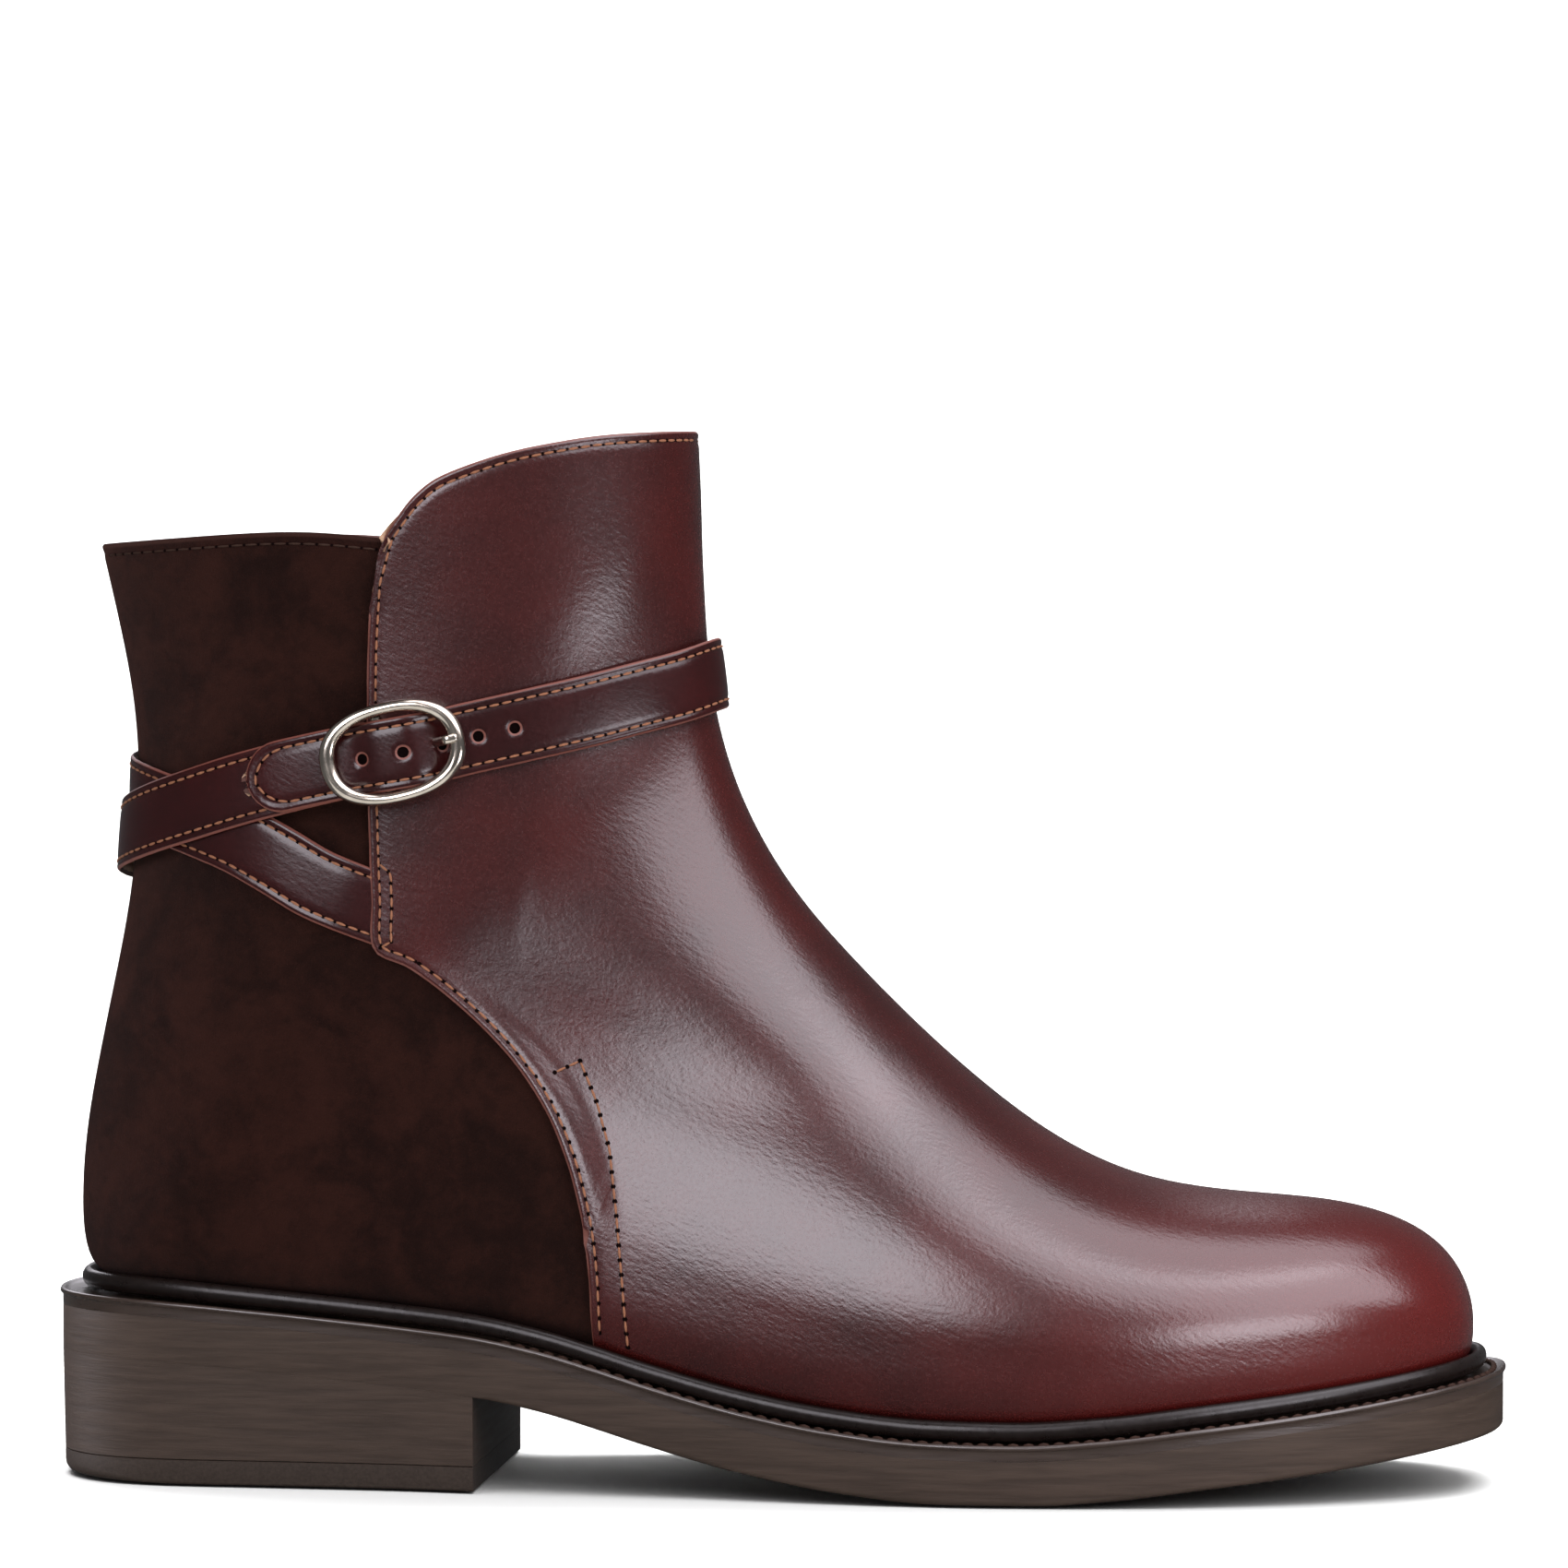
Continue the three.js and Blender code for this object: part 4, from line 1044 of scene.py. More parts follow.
HOLE_PLACES = (63.8, 71.2, 77.8, 84.6, 91.2)
HOLE_RADIUS = 1.05
HOLE_CELLS = 2
PULLED_CELLS = 5
HOLE_CLEAR = 4
HOLE_DISH = 0.35
TAIL_LENGTH = 62
FAR_OFF = 99.0
CELL = 0.5
PLAIN_CELL = 1.1
TIP_LINES = (0.8, 0.5, 0.28, 0.12, 0.03, 0.0)
CROWN = 0.16
BESIDE_LINES = [0.0, 0.5, 1.0, 1.5, 2.0, 2.6, 3.3, 4.0, 4.5, 4.9, 5.3, 5.65, 5.95, 6.25, 6.47, 6.63, 6.75]


def hole_distances():
    """Distances along the wrapped strap of its punched holes, in the part that ends behind the buckle."""
    end = wrap_strap.at > wrap_strap.length - TAIL_LENGTH
    x = wrap_strap.spine[end, 0]
    order = np.argsort(x)
    return sorted(np.interp(HOLE_PLACES, x[order], wrap_strap.at[end][order]))


def strap_lines(strap, holes):
    """Grid lines along a strap: close together where it is punched, at its tip and at its sewn end."""
    stops = [0.0, strap.length]
    if len(holes):
        stops[1:1] = [holes[0] - HOLE_CLEAR, *holes, holes[-1] + HOLE_CLEAR]
    lines = []
    centres = {}
    for start, end in zip(stops, stops[1:]):
        cell = CELL if start in holes or end in holes else PLAIN_CELL
        count = max(1, round((end - start) / cell))
        if start in holes:
            centres[len(lines)] = start
        lines.extend(np.linspace(start, end, count, endpoint=False))
    lines.append(strap.length)
    if strap.tip:
        lines = [line for line in lines if line < strap.length - 0.9]
        lines.extend(strap.length - back for back in TIP_LINES)
    return np.array(lines), centres


def make_strap(name, strap, holes, materials):
    lines, centres = strap_lines(strap, holes)
    beside_lines = np.concatenate([-np.array(BESIDE_LINES[:0:-1]), BESIDE_LINES])
    middle = len(BESIDE_LINES) - 1
    edges = strap_edge(strap)
    mesh = bmesh.new()

    def place(across, along):
        column = np.rint(across * (len(beside_lines) - 1)).astype(int)
        row = np.rint(along * (len(lines) - 1)).astype(int)
        at = lines[row].copy()
        beside = beside_lines[column] / BESIDE_LINES[-1] * strap.half_width(at)
        near = np.full(len(at), FAR_OFF)
        distance = np.full(len(at), FAR_OFF)
        for centre_row, centre in centres.items():
            cells = np.maximum(np.abs(row - centre_row), np.abs(column - middle))
            near = np.minimum(near, cells)
            here = (cells > 0) & (cells < PULLED_CELLS)
            ahead = at - centre
            away = np.maximum(np.hypot(ahead, beside), 1e-6)
            radius = cells / HOLE_CELLS * HOLE_RADIUS
            pull = np.where(here, np.clip((PULLED_CELLS - cells) / (PULLED_CELLS - HOLE_CELLS), 0, 1), 0)
            at = at + pull * (ahead / away * radius - ahead)
            beside = beside + pull * (beside / away * radius - beside)
            distance = np.minimum(distance, np.hypot(at - centre, beside) - HOLE_RADIUS)
        outline = nearest_distance(strap_face(strap, at, beside), edges)
        from_hole = np.maximum(distance, 0)
        place.edge = np.minimum(outline, from_hole)
        place.near = near
        crown = CROWN * (1 - (beside / BESIDE_LINES[-1])**2)
        drop = edge_drop(outline) + HOLE_DISH * np.exp(-(from_hole / HOLE_DISH)**2)
        return strap.point(at, beside, STRAP_LEATHER - CROWN + crown - drop)

    lay_sheet(mesh, len(beside_lines) - 1, len(lines) - 1, place)
    mark(mesh, "edge", place.edge)
    near = dict(zip(mesh.verts, place.near))
    punched = [face for face in mesh.faces if max(near[corner] for corner in face.verts) <= HOLE_CELLS]
    bmesh.ops.delete(mesh, geom=punched, context="FACES")
    bmesh.ops.remove_doubles(mesh, verts=mesh.verts, dist=0.5 * MERGE_REACH)
    face_away(mesh, (60, 0, 140))
    tree = BVHTree.FromBMesh(mesh)
    finish_piece(name, mesh, materials, [name], STRAP_LEATHER - 0.35)
    return tree


# The buckle

def shaft_spot(turn, height):
    turns = np.array([float(turn)])
    place = shaft_place(turns, height)
    return last_point(place, turns)[0], last_normal(place, turns)[0]


BUCKLE_TURN = -84.0
BUCKLE_RISE = 0.695
BUCKLE_SPAN = 12
BUCKLE_SLOPE = 0.0132 * FRONT_HEIGHT
BUCKLE_TILT = 0.05
BAR_PLACE = -0.07 * BUCKLE_LENGTH
OVAL_BEND = 2.35
SLIM_SHARE = 0.74
buckle_height = float(rise(BUCKLE_RISE))
buckle_spot, buckle_normal = shaft_spot(BUCKLE_TURN, buckle_height)
buckle_along = unit(
    shaft_spot(BUCKLE_TURN + BUCKLE_SPAN, buckle_height + BUCKLE_SLOPE)[0]
    - shaft_spot(BUCKLE_TURN - BUCKLE_SPAN, buckle_height - BUCKLE_SLOPE)[0]
)
buckle_across = unit(np.cross(buckle_normal, buckle_along))
buckle_out = np.cross(buckle_along, buckle_across)


def on_buckle(along, across, lift):
    """A point of the buckle, whose front end lies a little lower."""
    lift = lift - BUCKLE_TILT * along
    return buckle_spot + buckle_along * along + buckle_across * across + buckle_out * lift


def signed_power(value, power):
    return math.copysign(abs(value)**power, value)


def make_ring(materials):
    rings = []
    thick = 0.5 * WIRE_THICKNESS
    bend = 2 / OVAL_BEND
    for c, s in circle(120):
        wide = 0.5 * WIRE_WIDTH * (SLIM_SHARE + (1 - SLIM_SHARE) * c * c)
        x = signed_power(c, bend) * (0.5 * BUCKLE_LENGTH - wide)
        y = signed_power(s, bend) * (0.5 * BUCKLE_HEIGHT - wide)
        away = unit(np.array([
            signed_power(c, 2 - bend) / BUCKLE_LENGTH,
            signed_power(s, 2 - bend) / BUCKLE_HEIGHT,
        ]))
        rings.append([
            on_buckle(x + away[0] * wide * out, y + away[1] * wide * out, FRAME_LIFT + thick * up)
            for out, up in circle(20)
        ])
    mesh = bmesh.new()
    lay_rings(mesh, rings)
    close_up(mesh)
    lay_rings(mesh, bar_rings())
    close_up(mesh)
    return finish_piece("buckle_ring", mesh, materials, ["buckle_frame"])


def bar_rings():
    reach = 0.5 * BUCKLE_HEIGHT - 0.45 * WIRE_WIDTH
    shoulder = 0.5 * STRAP_WIDTH + GAP
    high = FRAME_LIFT - GAP
    half_route = [(reach, high), (reach - 0.4, high - 0.2), (shoulder, BAR_LIFT)]
    route = [(-across, lift) for across, lift in half_route] + half_route[::-1]
    rings = []
    for k, (across, lift) in enumerate(route):
        radius = 0.5 * BAR_DIAMETER * (0.9 if k in (0, len(route) - 1) else 1.0)
        rings.append([on_buckle(BAR_PLACE + radius * c, across, lift + radius * s) for c, s in circle(16)])
    return rings


def make_prong(materials):
    rest = FRAME_LIFT + 0.1 * WIRE_THICKNESS + 0.5 * PRONG_THICKNESS
    start = BAR_PLACE + 0.5 * BAR_DIAMETER + GAP
    route = np.array([
        (start, BAR_LIFT, 0.3),
        (start + 0.25, BAR_LIFT, 0.9),
        (0.15 * BUCKLE_LENGTH, BAR_LIFT - 0.4, 1.0),
        (0.24 * BUCKLE_LENGTH, BAR_LIFT - 0.4, 1.0),
        (0.31 * BUCKLE_LENGTH, BAR_LIFT + 0.45 * (rest - BAR_LIFT), 1.0),
        (0.37 * BUCKLE_LENGTH, rest, 1.0),
        (0.43 * BUCKLE_LENGTH, rest, 0.9),
        (0.452 * BUCKLE_LENGTH, rest, 0.7),
        (0.46 * BUCKLE_LENGTH, rest, 0.25),
    ])
    square = 0.7
    rings = []
    for along, lift, share in curve_through(route, 4):
        wide = 0.5 * PRONG_WIDTH * share
        thick = 0.5 * PRONG_THICKNESS * share
        rings.append([
            on_buckle(along, wide * signed_power(c, square), lift + thick * signed_power(s, square))
            for c, s in circle(16)
        ])
    mesh = bmesh.new()
    lay_rings(mesh, rings)
    close_up(mesh)
    open_edges = [edge for edge in mesh.edges if edge.is_boundary]
    bmesh.ops.holes_fill(mesh, edges=open_edges, sides=0)
    bmesh.ops.recalc_face_normals(mesh, faces=mesh.faces)
    return finish_piece("buckle_prong", mesh, materials, ["buckle_prong"])


# Stitches

def rows_at_pitch(points, pitch):
    """Middle points, directions and end points of a row of stitches along a path."""
    count = max(1, int(round(lengths_along(points)[-1] / pitch)))
    even = even_path(points, 2 * count)
    return even[1::2], unit(even[2::2] - even[:-2:2]), even[::2]


COARSE_PITCH = 2.8
FINE_PITCH = 2.4
# Near-black discs of painted shade stand for the shaded needle pits; this is how far they sit off the surface
SHADE_DISC_LIFT = 0.04


def facing(normal):
    """The turn that lays a flat disc on a surface."""
    return Vector(normal).to_track_quat("Z", "Y").to_matrix().to_4x4()


def sew(threads, pit_shades, points, tree, pitch=FINE_PITCH, radius=0.26, pit_shade_radius=0.36):
    """Stitches laid along a path on a surface, with a near-black disc of painted shade at each pit where the
    thread goes down between two of them.
    """
    middles, ways, ends = rows_at_pitch(points, pitch)
    for middle, way in zip(middles, ways):
        spot, normal, _, _ = tree.find_nearest(Vector(middle))
        out = Vector(normal)
        along = (Vector(way) - out * Vector(way).dot(out)).normalized()
        beside = out.cross(along)
        turn = Matrix((along, beside, out)).transposed().to_4x4()
        size = Matrix.Diagonal((0.5 * pitch - 0.55 * pit_shade_radius, radius, radius, 1))
        upright = Matrix.Rotation(math.radians(90), 4, "Y")
        laid = Matrix.Translation(spot + out * 0.4 * radius) @ turn @ size @ upright
        bmesh.ops.create_uvsphere(threads, u_segments=6, v_segments=4, radius=1, matrix=laid)
    # A near-black disc of painted shade at each needle pit
    for end in ends:
        spot, normal, _, _ = tree.find_nearest(Vector(end))
        laid = Matrix.Translation(spot + Vector(normal) * SHADE_DISC_LIFT) @ facing(normal)
        bmesh.ops.create_circle(pit_shades, cap_ends=True, segments=8, radius=pit_shade_radius, matrix=laid)


def tree_of(piece):
    """A piece's faces for finding spots on it, back in millimetres."""
    points = [corner.co / MILLIMETRE + SOLE_MIDDLE for corner in piece.data.vertices]
    return BVHTree.FromPolygons(points, [list(polygon.vertices) for polygon in piece.data.polygons])


def side_line_points(line, side, tree):
    """A line drawn in the side view thrown onto a surface from one side."""
    points = []
    beside_boot = 200.0
    for x, z in line:
        spot, _, _, _ = tree.ray_cast(Vector((x, beside_boot * side, z)), Vector((0, -side, 0)))
        if spot is not None:
            points.append(spot)
    return np.array(points)


def inset_line(line, distance):
    """A line in the side view moved to the right of its way by a distance."""
    fine = even_path(line, 300)
    way = unit(np.gradient(fine, axis=0))
    return fine + np.stack([way[:, 1], -way[:, 0]], axis=1) * distance


# The second row of the vamp's band and its short joint to the first, x and z in the side view
BAND_ROW = [(103.9, 80.3), (107.3, 72.6), (109.9, 64.0), (111.5, 52.0), (112.7, 40.0), (113.8, 27.5)]
BAND_JOINT = [(99.3, 78.2), (103.9, 80.3)]
# Where the wrapped strap is sewn down at the vamp's rear edge
ANCHOR_LOW = 101.5
ANCHOR_HIGH = 115.5
ANCHOR_WIDTH = 2.2
COLLAR_INSET = 2.2
WELT_SEAM_INSET = 2.3
STRAP_END_CLEAR = 2.0


def vamp_rows():
    """The rows of stitches on the vamp: a line in the side view, the pitch and the size of the painted shade
    discs in the pits.
    """
    rear = vamp_rear[vamp_rear[:, 1] < BACK_HEIGHT - 0.5]
    corner_line = inset_line(np.vstack([rear, flap_edge[1:]]), SEAM_INSET)
    corner_line = corner_line[corner_line[:, 1] > seat(corner_line[:, 0]) + 6]
    band = corner_line[:, 1] < ANCHOR_LOW - 3
    beside_anchor = rear[(rear[:, 1] > ANCHOR_LOW) & (rear[:, 1] < ANCHOR_HIGH)]
    anchor = inset_line(beside_anchor, SEAM_INSET + ANCHOR_WIDTH)
    anchor = np.vstack([anchor[:1] - (ANCHOR_WIDTH, 1.2), anchor, anchor[-1:] + (-ANCHOR_WIDTH, 1.8)])
    return [
        (corner_line[band], COARSE_PITCH, 0.5),
        (corner_line[~band], FINE_PITCH, 0.36),
        (np.array(BAND_ROW), COARSE_PITCH, 0.5),
        (np.array(BAND_JOINT), 2.5, 0.45),
        (anchor, FINE_PITCH, 0.4),
    ]


def strap_rows(strap):
    """The rows of stitches along a strap's two edges, joined round its tip if it has one."""
    at = np.linspace(STRAP_END_CLEAR, strap.length - (0 if strap.tip else STRAP_END_CLEAR), 500)
    half = np.maximum(0.0, strap.half_width(at + SEAM_INSET) - SEAM_INSET)
    sides = [strap_face(strap, at, half * way) for way in (-1, 1)]
    if strap.tip:
        inside = at < strap.length - SEAM_INSET
        sides = [np.vstack([sides[0][inside], sides[1][inside][::-1]])]
    return sides


def make_stitches(trees, thread, dull_thread, pit_shade):
    vamp_tree, upper_tree, wrap_tree, buckle_tree, welt_tree = trees
    threads = bmesh.new()
    dull_threads = bmesh.new()
    welt_threads = bmesh.new()
    pit_shades = bmesh.new()
    collar = inset_line(quarter_edge[quarter_edge[:, 0] > 10], COLLAR_INSET)[:-6]
    for side in (-1, 1):
        for line, pitch, pit_shade_radius in vamp_rows():
            points = side_line_points(even_path(line, 120), side, vamp_tree)
            sew(threads, pit_shades, points, vamp_tree, pitch, pit_shade_radius=pit_shade_radius)
        points = side_line_points(collar, side, upper_tree)
        sew(dull_threads, pit_shades, points, upper_tree, COARSE_PITCH, 0.22, 0.3)
    for strap, tree in ((wrap_strap, wrap_tree), (buckle_strap, buckle_tree)):
        for line in strap_rows(strap):
            sew(threads, pit_shades, line, tree)
    # A near-black disc of painted shade sits halfway down each punched hole
    heights = np.array([0.45, 1.0]) * STRAP_LEATHER
    for distance in hole_distances():
        low, high = wrap_strap.point(np.full(2, distance), np.zeros(2), heights)
        laid = Matrix.Translation(low) @ facing(high - low)
        bmesh.ops.create_circle(pit_shades, cap_ends=True, segments=12, radius=HOLE_RADIUS + 0.15, matrix=laid)
    loop = even_loop(upper_loop, LOOP_STATIONS)
    seam = move_loop(loop, margin_at(loop[:, 0]) - WELT_SEAM_INSET)
    seam = seam[seam[:, 0] > HEEL_LENGTH + 4]
    seam_points = np.column_stack([seam, seat(seam[:, 0]) - 0.5])
    sew(welt_threads, pit_shades, seam_points, welt_tree, COARSE_PITCH, 0.65, 0.4)
    finish_piece("stitches", threads, [thread])
    finish_piece("collar_stitches", dull_threads, [dull_thread])
    finish_piece("welt_stitches", welt_threads, [dull_thread])
    # The near-black discs of painted shade in the stitch pits and punched holes, as one piece
    finish_piece("stitch_pit_shades", pit_shades, [pit_shade])


# Materials

class Value:
    """A shader socket that takes the usual signs of arithmetic."""

    def __init__(self, shader, socket):
        self.shader = shader
        self.socket = socket

    def maths(self, operation, other):
        return self.shader.node("ShaderNodeMath", {0: self, 1: other}, operation=operation)

    def __add__(self, other):
        return self.maths("ADD", other)

    def __radd__(self, other):
        return self.maths("ADD", other)

    def __sub__(self, other):
        return self.maths("SUBTRACT", other)

    def __rsub__(self, other):
        return (self * -1).maths("ADD", other)

    def __mul__(self, other):
        return self.maths("MULTIPLY", other)

    def __rmul__(self, other):
        return self.maths("MULTIPLY", other)

    def step(self, start, end):
        """0 below start, 1 above end, smooth between."""
        limits = {"Value": self, "From Min": start, "From Max": end}
        return self.shader.node("ShaderNodeMapRange", limits, "Result", interpolation_type="SMOOTHSTEP")


class Shader:
    """A material's node tree, built up by its calls."""

    def __init__(self, name):
        self.material = bpy.data.materials.new(name)
        self.material.use_nodes = True
        self.tree = self.material.node_tree
        self.surface = self.tree.nodes["Principled BSDF"]

    def feed(self, entry, value):
        if isinstance(value, Value):
            self.tree.links.new(value.socket, entry)
        else:
            entry.default_value = value

    def node(self, kind, inputs=None, output=0, **settings):
        """A node with its settings made first, then its inputs by name or number."""
        node = self.tree.nodes.new(kind)
        for name, value in settings.items():
            setattr(node, name, value)
        for name, value in (inputs or {}).items():
            self.feed(node.inputs[name], value)
        return Value(self, node.outputs[output])

    def place(self):
        """The spot on the boot in millimetres."""
        spot = self.node("ShaderNodeTexCoord", output="Object")
        return self.stretched(spot, (1000.0, 1000.0, 1000.0))

    def stretched(self, vector, scale):
        return self.node("ShaderNodeVectorMath", {0: vector, 1: scale}, operation="MULTIPLY")

    def noise(self, vector, scale, detail, roughness, distortion=0.0):
        return self.node("ShaderNodeTexNoise", {
            "Vector": vector,
            "Scale": scale,
            "Detail": detail,
            "Roughness": roughness,
            "Distortion": distortion,
        })

    def attribute(self, name):
        return self.node("ShaderNodeAttribute", output="Fac", attribute_name=name)

    def mix(self, factor, first, second):
        """A colour between two: sockets 0, 6, 7 and output 2 are the node's factor and colours."""
        return self.node("ShaderNodeMix", {0: factor, 6: first, 7: second}, 2, data_type="RGBA")

    def bump(self, height, distance):
        inputs = {"Height": height, "Distance": distance * MILLIMETRE, "Strength": 1.0}
        return self.node("ShaderNodeBump", inputs, "Normal")

    def finish(self, **values):
        for name, value in values.items():
            self.feed(self.surface.inputs[name.replace("_", " ")], value)
        return self.material


def paint(red, green, blue):
    """A colour as it is seen on a screen, 0 to 255."""
    linear = []
    for part in (red, green, blue):
        share = part / 255
        linear.append(share / 12.92 if share <= 0.04045 else ((share + 0.055) / 1.055)**2.4)
    return (*linear, 1.0)


def grain_leather(name, dark, light, toe, roughness, grain, gloss, raw):
    """Smooth leather: hair-like streaks, fine pores, slow changes of tone and a raw line along cut edges."""
    shader = Shader(name)
    place = shader.place()
    turned = shader.node("ShaderNodeVectorRotate", {"Vector": place, "Angle": math.radians(-28)},
                         rotation_type="Y_AXIS")
    streaks = shader.noise(shader.stretched(turned, (0.35, 0.8, 1.0)), 1.3, 2.0, 0.5)
    pores = shader.noise(place, 1.7, 2.0, 0.5)
    slow = shader.noise(place, 0.045, 3.0, 0.55)
    edge = shader.attribute("edge")
    raw_line = 1 - edge.step(0.22, 0.48)
    along = shader.node("ShaderNodeSeparateXYZ", {"Vector": place}, output="X")
    tone = shader.mix((slow * 0.7 + pores * 0.3).step(0.3, 0.7), dark, light)
    tone = shader.mix((along + slow * 40).step(30, 150), tone, toe)
    return shader.finish(
        Base_Color=shader.mix(raw_line, tone, raw),
        Roughness=roughness + (pores - 0.5) * 0.12 + raw_line * 0.3,
        Normal=shader.bump(streaks * 0.9 + pores * 0.5, grain),
        Specular_IOR_Level=gloss,
    )


def plain(name, colour, roughness, bump_scale, bump, stretch=(1.0, 1.0, 1.0), **others):
    """A finish of one colour with a fine grain, which may be drawn out along the piece."""
    shader = Shader(name)
    grain = shader.noise(shader.stretched(shader.place(), stretch), bump_scale, 4.0, 0.6)
    darker = tuple(0.72 * part for part in colour[:3]) + (1.0,)
    return shader.finish(
        Base_Color=shader.mix(grain.step(0.3, 0.7), darker, colour),
        Roughness=roughness + (grain - 0.5) * 0.2,
        Normal=shader.bump(grain, bump),
        **others,
    )


def suede(name, dark, light):
    shader = Shader(name)
    place = shader.place()
    nap = shader.noise(place, 0.32, 5.0, 0.68, 0.6)
    brushed = shader.noise(place, 0.05, 3.0, 0.6, 0.8)
    fibres = shader.noise(place, 3.4, 3.0, 0.7)
    tone = shader.mix((nap * 0.3 + brushed * 0.5 + fibres * 0.2).step(0.38, 0.62), dark, light)
    edge = shader.attribute("edge")
    rolled = 1 - edge.step(0.6, 1.1)
    return shader.finish(
        Base_Color=shader.mix(rolled, tone, paint(40, 24, 20)),
        Roughness=0.95 - rolled * 0.4,
        Normal=shader.bump(nap * 0.6 + fibres, 0.35),
        Specular_IOR_Level=0.0,
        Sheen_Weight=0.012,
        Sheen_Roughness=0.6,
    )


raw_edge = paint(96, 52, 42)
vamp_skin = grain_leather("vamp_leather", paint(36, 8, 7), paint(50, 11, 9), paint(64, 14, 12),
                          0.26, 0.055, 0.6, raw_edge)
strap_skin = grain_leather("strap_leather", paint(28, 6, 6), paint(40, 8, 8), paint(40, 8, 8),
                           0.24, 0.03, 0.42, raw_edge)
quarter_nap = suede("quarter_suede", paint(19, 9, 7), paint(32, 16, 12))
lining = plain("lining", paint(150, 118, 92), 0.6, 1.4, 0.04)
cut_edge = plain("cut_edge", paint(74, 42, 34), 0.7, 1.2, 0.05)
rand_skin = plain("rand_leather", paint(20, 14, 12), 0.3, 0.6, 0.05, Specular_IOR_Level=0.28)
LAYERED = (0.12, 0.12, 1.6)  # grain drawn out along the edge of stacked leather
welt_skin = plain("welt_leather", paint(46, 36, 30), 0.3, 0.5, 0.05, LAYERED, Specular_IOR_Level=0.6)
sole_edge = plain("sole_leather", paint(51, 41, 34), 0.55, 0.5, 0.12, LAYERED, Specular_IOR_Level=0.15)
heel_rubber = plain("heel_rubber", paint(45, 37, 31), 0.55, 1.6, 0.04, Specular_IOR_Level=0.15)
insole_skin = plain("insole_leather", paint(150, 120, 92), 0.6, 1.0, 0.05)
nickel = plain("buckle_metal", paint(222, 211, 196), 0.18, 0.2, 0.01, Metallic=1.0)
thread = plain("thread", paint(122, 82, 60), 0.7, 3.0, 0.05, Specular_IOR_Level=0.1)
dull_thread = plain("dull_thread", paint(46, 31, 24), 0.75, 3.0, 0.05, Specular_IOR_Level=0.1)
# Near-black paint with no shine, for the discs of painted shade in stitch pits and punched holes
pit_shade = plain("stitch_pit_shade", paint(10, 5, 5), 0.9, 3.0, 0.02, Specular_IOR_Level=0.0)


# The whole boot

vamp_tree = make_vamp([vamp_skin, lining, cut_edge])
upper_piece, upper_tree = make_upper([quarter_nap, lining, cut_edge])
make_rand([rand_skin])
welt_piece = make_welt([welt_skin])
outsole_piece = make_outsole([sole_edge])
heel_piece = make_heel_stack([sole_edge])
heel_foot = make_top_piece([heel_rubber])
make_insole([insole_skin])
strap_skins = [strap_skin, lining, cut_edge]
wrap_tree = make_strap("wrap_strap", wrap_strap, hole_distances(), strap_skins)
buckle_tree = make_strap("buckle_strap", buckle_strap, [], strap_skins)
buckle_ring = make_ring([nickel])
buckle_prong = make_prong([nickel])
trees = (vamp_tree, upper_tree, wrap_tree, buckle_tree, tree_of(welt_piece))
make_stitches(trees, thread, dull_thread, pit_shade)


# Floor, lights and camera

FLOOR_HALF = 3.0
FLOOR_HEIGHT = -0.0005
BEND_START = 1.6
BEND_RADIUS = 0.8
BEND_STEPS = 12


def make_stage():
    """A pale floor that bends up into a wall behind the boot, in metres."""
    mesh = bmesh.new()
    rings = []
    for x in (-FLOOR_HALF, FLOOR_HALF):
        ring = [(x, -FLOOR_HALF, FLOOR_HEIGHT), (x, BEND_START, FLOOR_HEIGHT)]
        for k in range(1, BEND_STEPS + 1):
            angle = math.radians(90 * k / BEND_STEPS)
            away = BEND_START + BEND_RADIUS * math.sin(angle)
            ring.append((x, away, BEND_RADIUS - BEND_RADIUS * math.cos(angle)))
        ring.append((x, BEND_START + BEND_RADIUS, FLOOR_HALF))
        rings.append(ring)
    lay_rings(mesh, rings)
    data = bpy.data.meshes.new("floor")
    mesh.to_mesh(data)
    mesh.free()
    for polygon in data.polygons:
        polygon.use_smooth = True
    floor = bpy.data.objects.new("floor", data)
    bpy.context.scene.collection.objects.link(floor)
    paper = Shader("floor")
    data.materials.append(paper.finish(
        Base_Color=(0.9, 0.9, 0.9, 1.0), Roughness=0.6, Specular_IOR_Level=0.25,
    ))
    floor.visible_glossy = False
    floor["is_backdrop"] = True
    return floor


def area_light(name, spot, aim, size, power, colour, reach):
    """A soft box. Its reach is some objects and whether it lights them alone or everything but them."""
    objects, state = reach
    data = bpy.data.lights.new(name, "AREA")
    data.shape = "RECTANGLE"
    data.size = size[0]
    data.size_y = size[1]
    data.energy = power
    data.color = colour
    light = bpy.data.objects.new(name, data)
    receivers = bpy.data.collections.new(name + "_receivers")
    for number, thing in enumerate(objects):
        receivers.objects.link(thing)
        receivers.collection_objects[number].light_linking.link_state = state
    light.light_linking.receiver_collection = receivers
    light.location = spot
    light.rotation_euler = (Vector(aim) - Vector(spot)).to_track_quat("-Z", "Y").to_euler()
    bpy.context.scene.collection.objects.link(light)
    return light


floor = make_stage()
white_light = (1.0, 1.0, 1.0)
panel_light = (0.97, 0.93, 1.0)
only_floor = ([floor], "INCLUDE")
only_metal = ([buckle_ring, buckle_prong], "INCLUDE")
only_left = ([upper_piece, outsole_piece, heel_piece, heel_foot], "INCLUDE")
whole_boot = ([floor], "EXCLUDE")

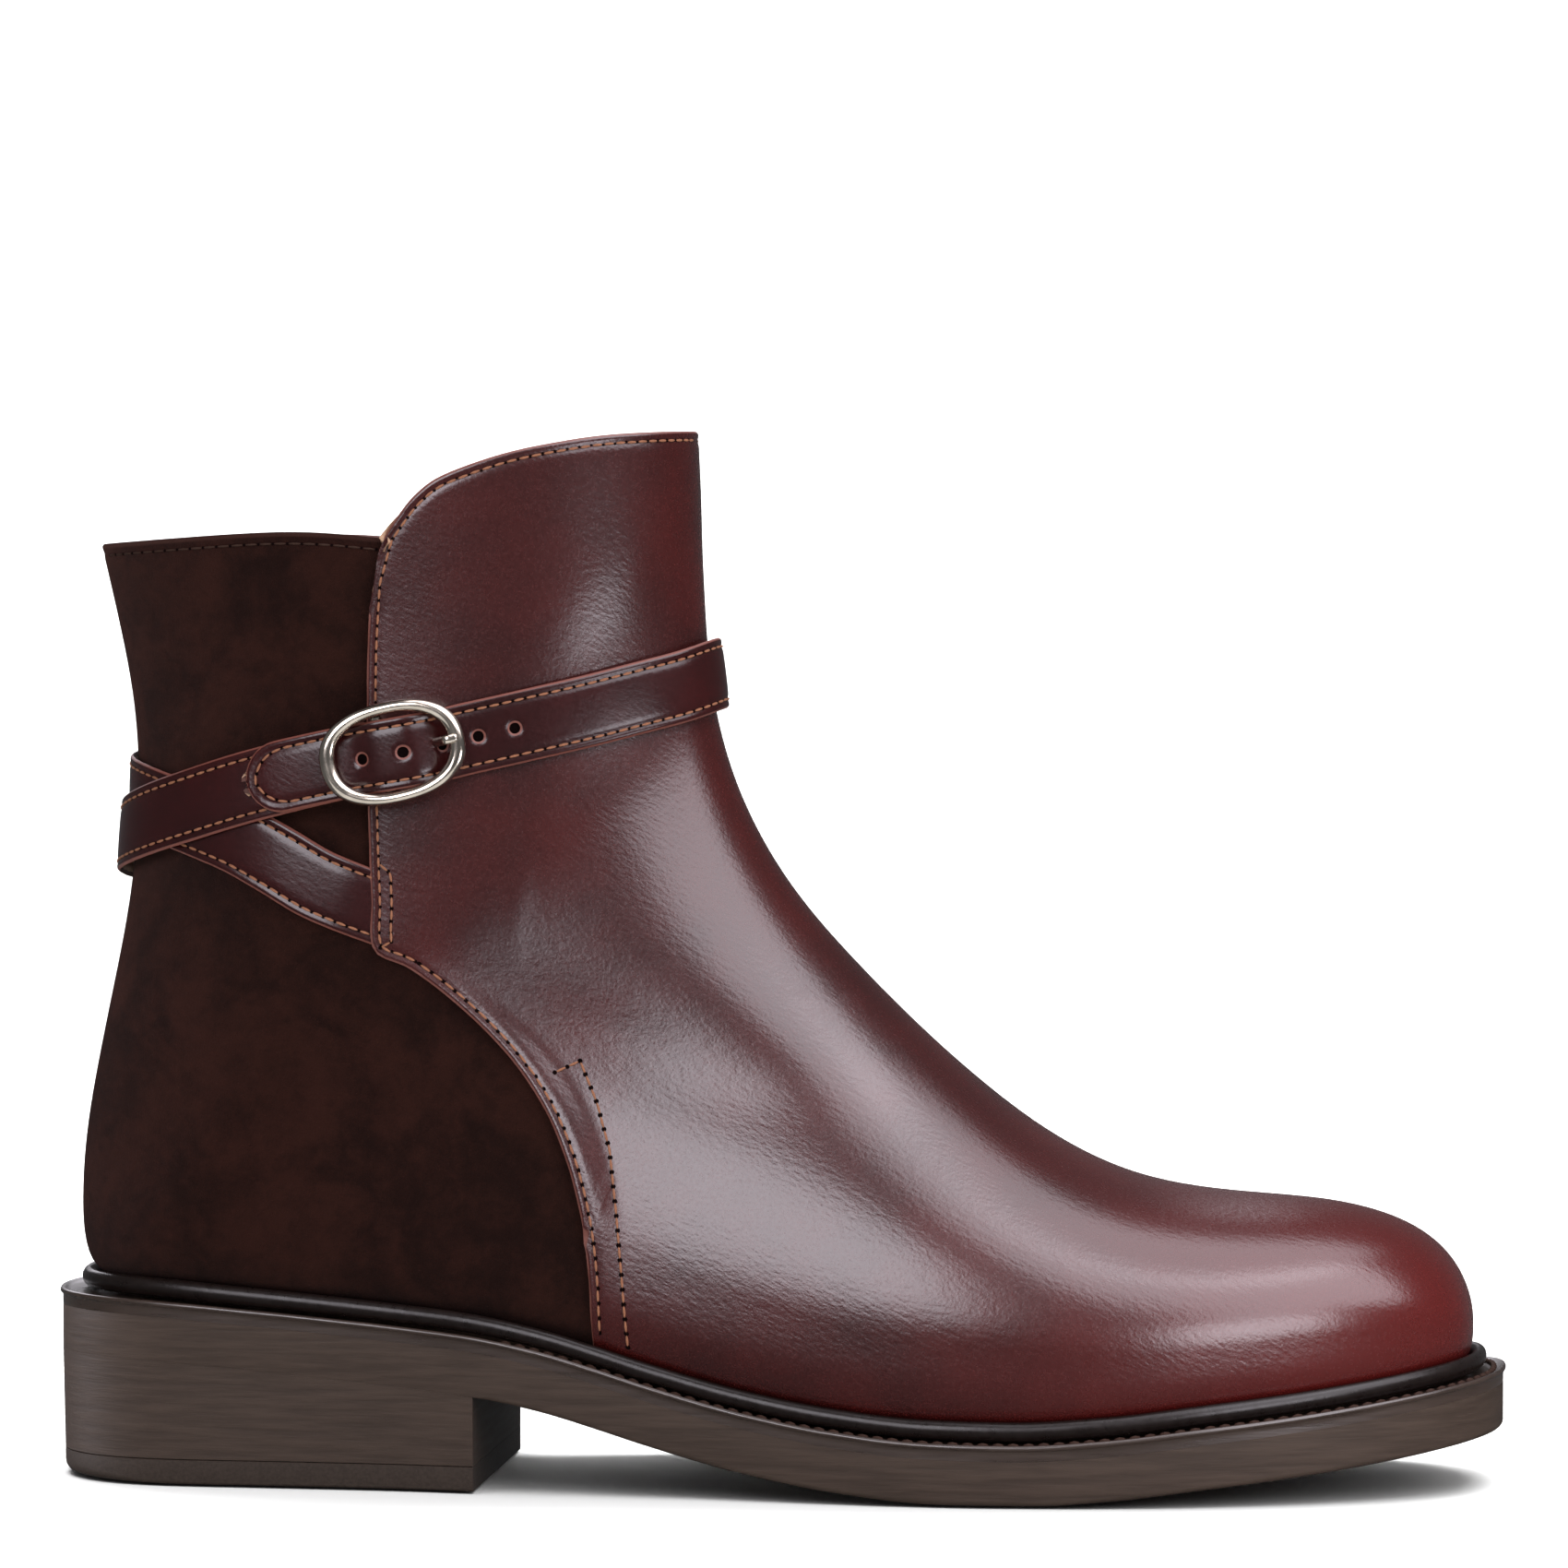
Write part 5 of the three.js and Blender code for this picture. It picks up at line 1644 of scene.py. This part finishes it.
# name, place, aim, width and height, power, colour, reach
LIGHTS = [
    ("floor_light", (0.05, 0.1, 1.2), (0.05, 0.1, 0.0), (1.8, 1.8), 30, white_light, only_floor),
    ("floor_front", (0.7, -1.0, 0.9), (0.1, 0.0, 0.0), (1.4, 1.4), 14, white_light, only_floor),
    ("backdrop_light", (0.0, 0.9, 1.9), (0.0, 1.8, 0.2), (2.4, 1.2), 90, white_light, only_floor),
    ("table_card", (0.0, -0.6, -0.4), (-0.03, -0.04, 0.14), (1.2, 0.8), 2.6, white_light, only_metal),
    ("low_panel", (-0.4, -1.38, 0.77), (0.02, 0.0, 0.08), (0.8, 0.96), 20, panel_light, whole_boot),
    ("high_panel", (0.99, -0.7, 1.2), (0.05, 0.0, 0.08), (1.5, 1.45), 37, panel_light, whole_boot),
    ("top_panel", (0.35, 0.0, 1.5), (0.05, 0.0, 0.08), (1.3, 1.0), 15, panel_light, whole_boot),
    ("toe_panel", (0.225, -0.225, 0.068), (0.11, -0.04, 0.04), (0.13, 0.09), 0.34, panel_light, whole_boot),
    ("left_panel", (-1.2, 0.0, 0.3), (0.0, 0.0, 0.08), (0.6, 0.6), 16, panel_light, only_left),
    ("back_panel", (-0.5, 1.3, 1.0), (0.0, 0.0, 0.1), (1.2, 1.0), 16, panel_light, whole_boot),
]
lamps = {row[0]: area_light(*row) for row in LIGHTS}

# The card stands under the floor, which doesn't shade it
seen_through = bpy.data.collections.new("seen_through")
seen_through.objects.link(floor)
seen_through.collection_objects[0].light_linking.link_state = "EXCLUDE"
lamps["table_card"].light_linking.blocker_collection = seen_through

world = bpy.data.worlds.new("studio")
world.use_nodes = True
background = world.node_tree.nodes["Background"]
background.inputs["Color"].default_value = (0.95, 0.96, 1.0, 1.0)
background.inputs["Strength"].default_value = 0.12
bpy.context.scene.world = world

camera_data = bpy.data.cameras.new("camera")
camera_data.lens = 162.9
camera_data.sensor_width = 36.0
camera = bpy.data.objects.new("camera", camera_data)
camera.location = (0.1313, -1.344125, 0.16805)
camera.rotation_euler = (math.radians(90 - 1.554), 0.0, math.radians(5.536))
bpy.context.scene.collection.objects.link(camera)
bpy.context.scene.camera = camera
bpy.context.scene.view_settings.view_transform = "Standard"

shown_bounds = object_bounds()


def plain_lists(bounds):
    if isinstance(bounds, dict):
        return {name: plain_lists(value) for name, value in bounds.items()}
    return [[float(part) for part in corner] for corner in bounds]


{"packed": plain_lists(packed_bounds), "shown": plain_lists(shown_bounds)}
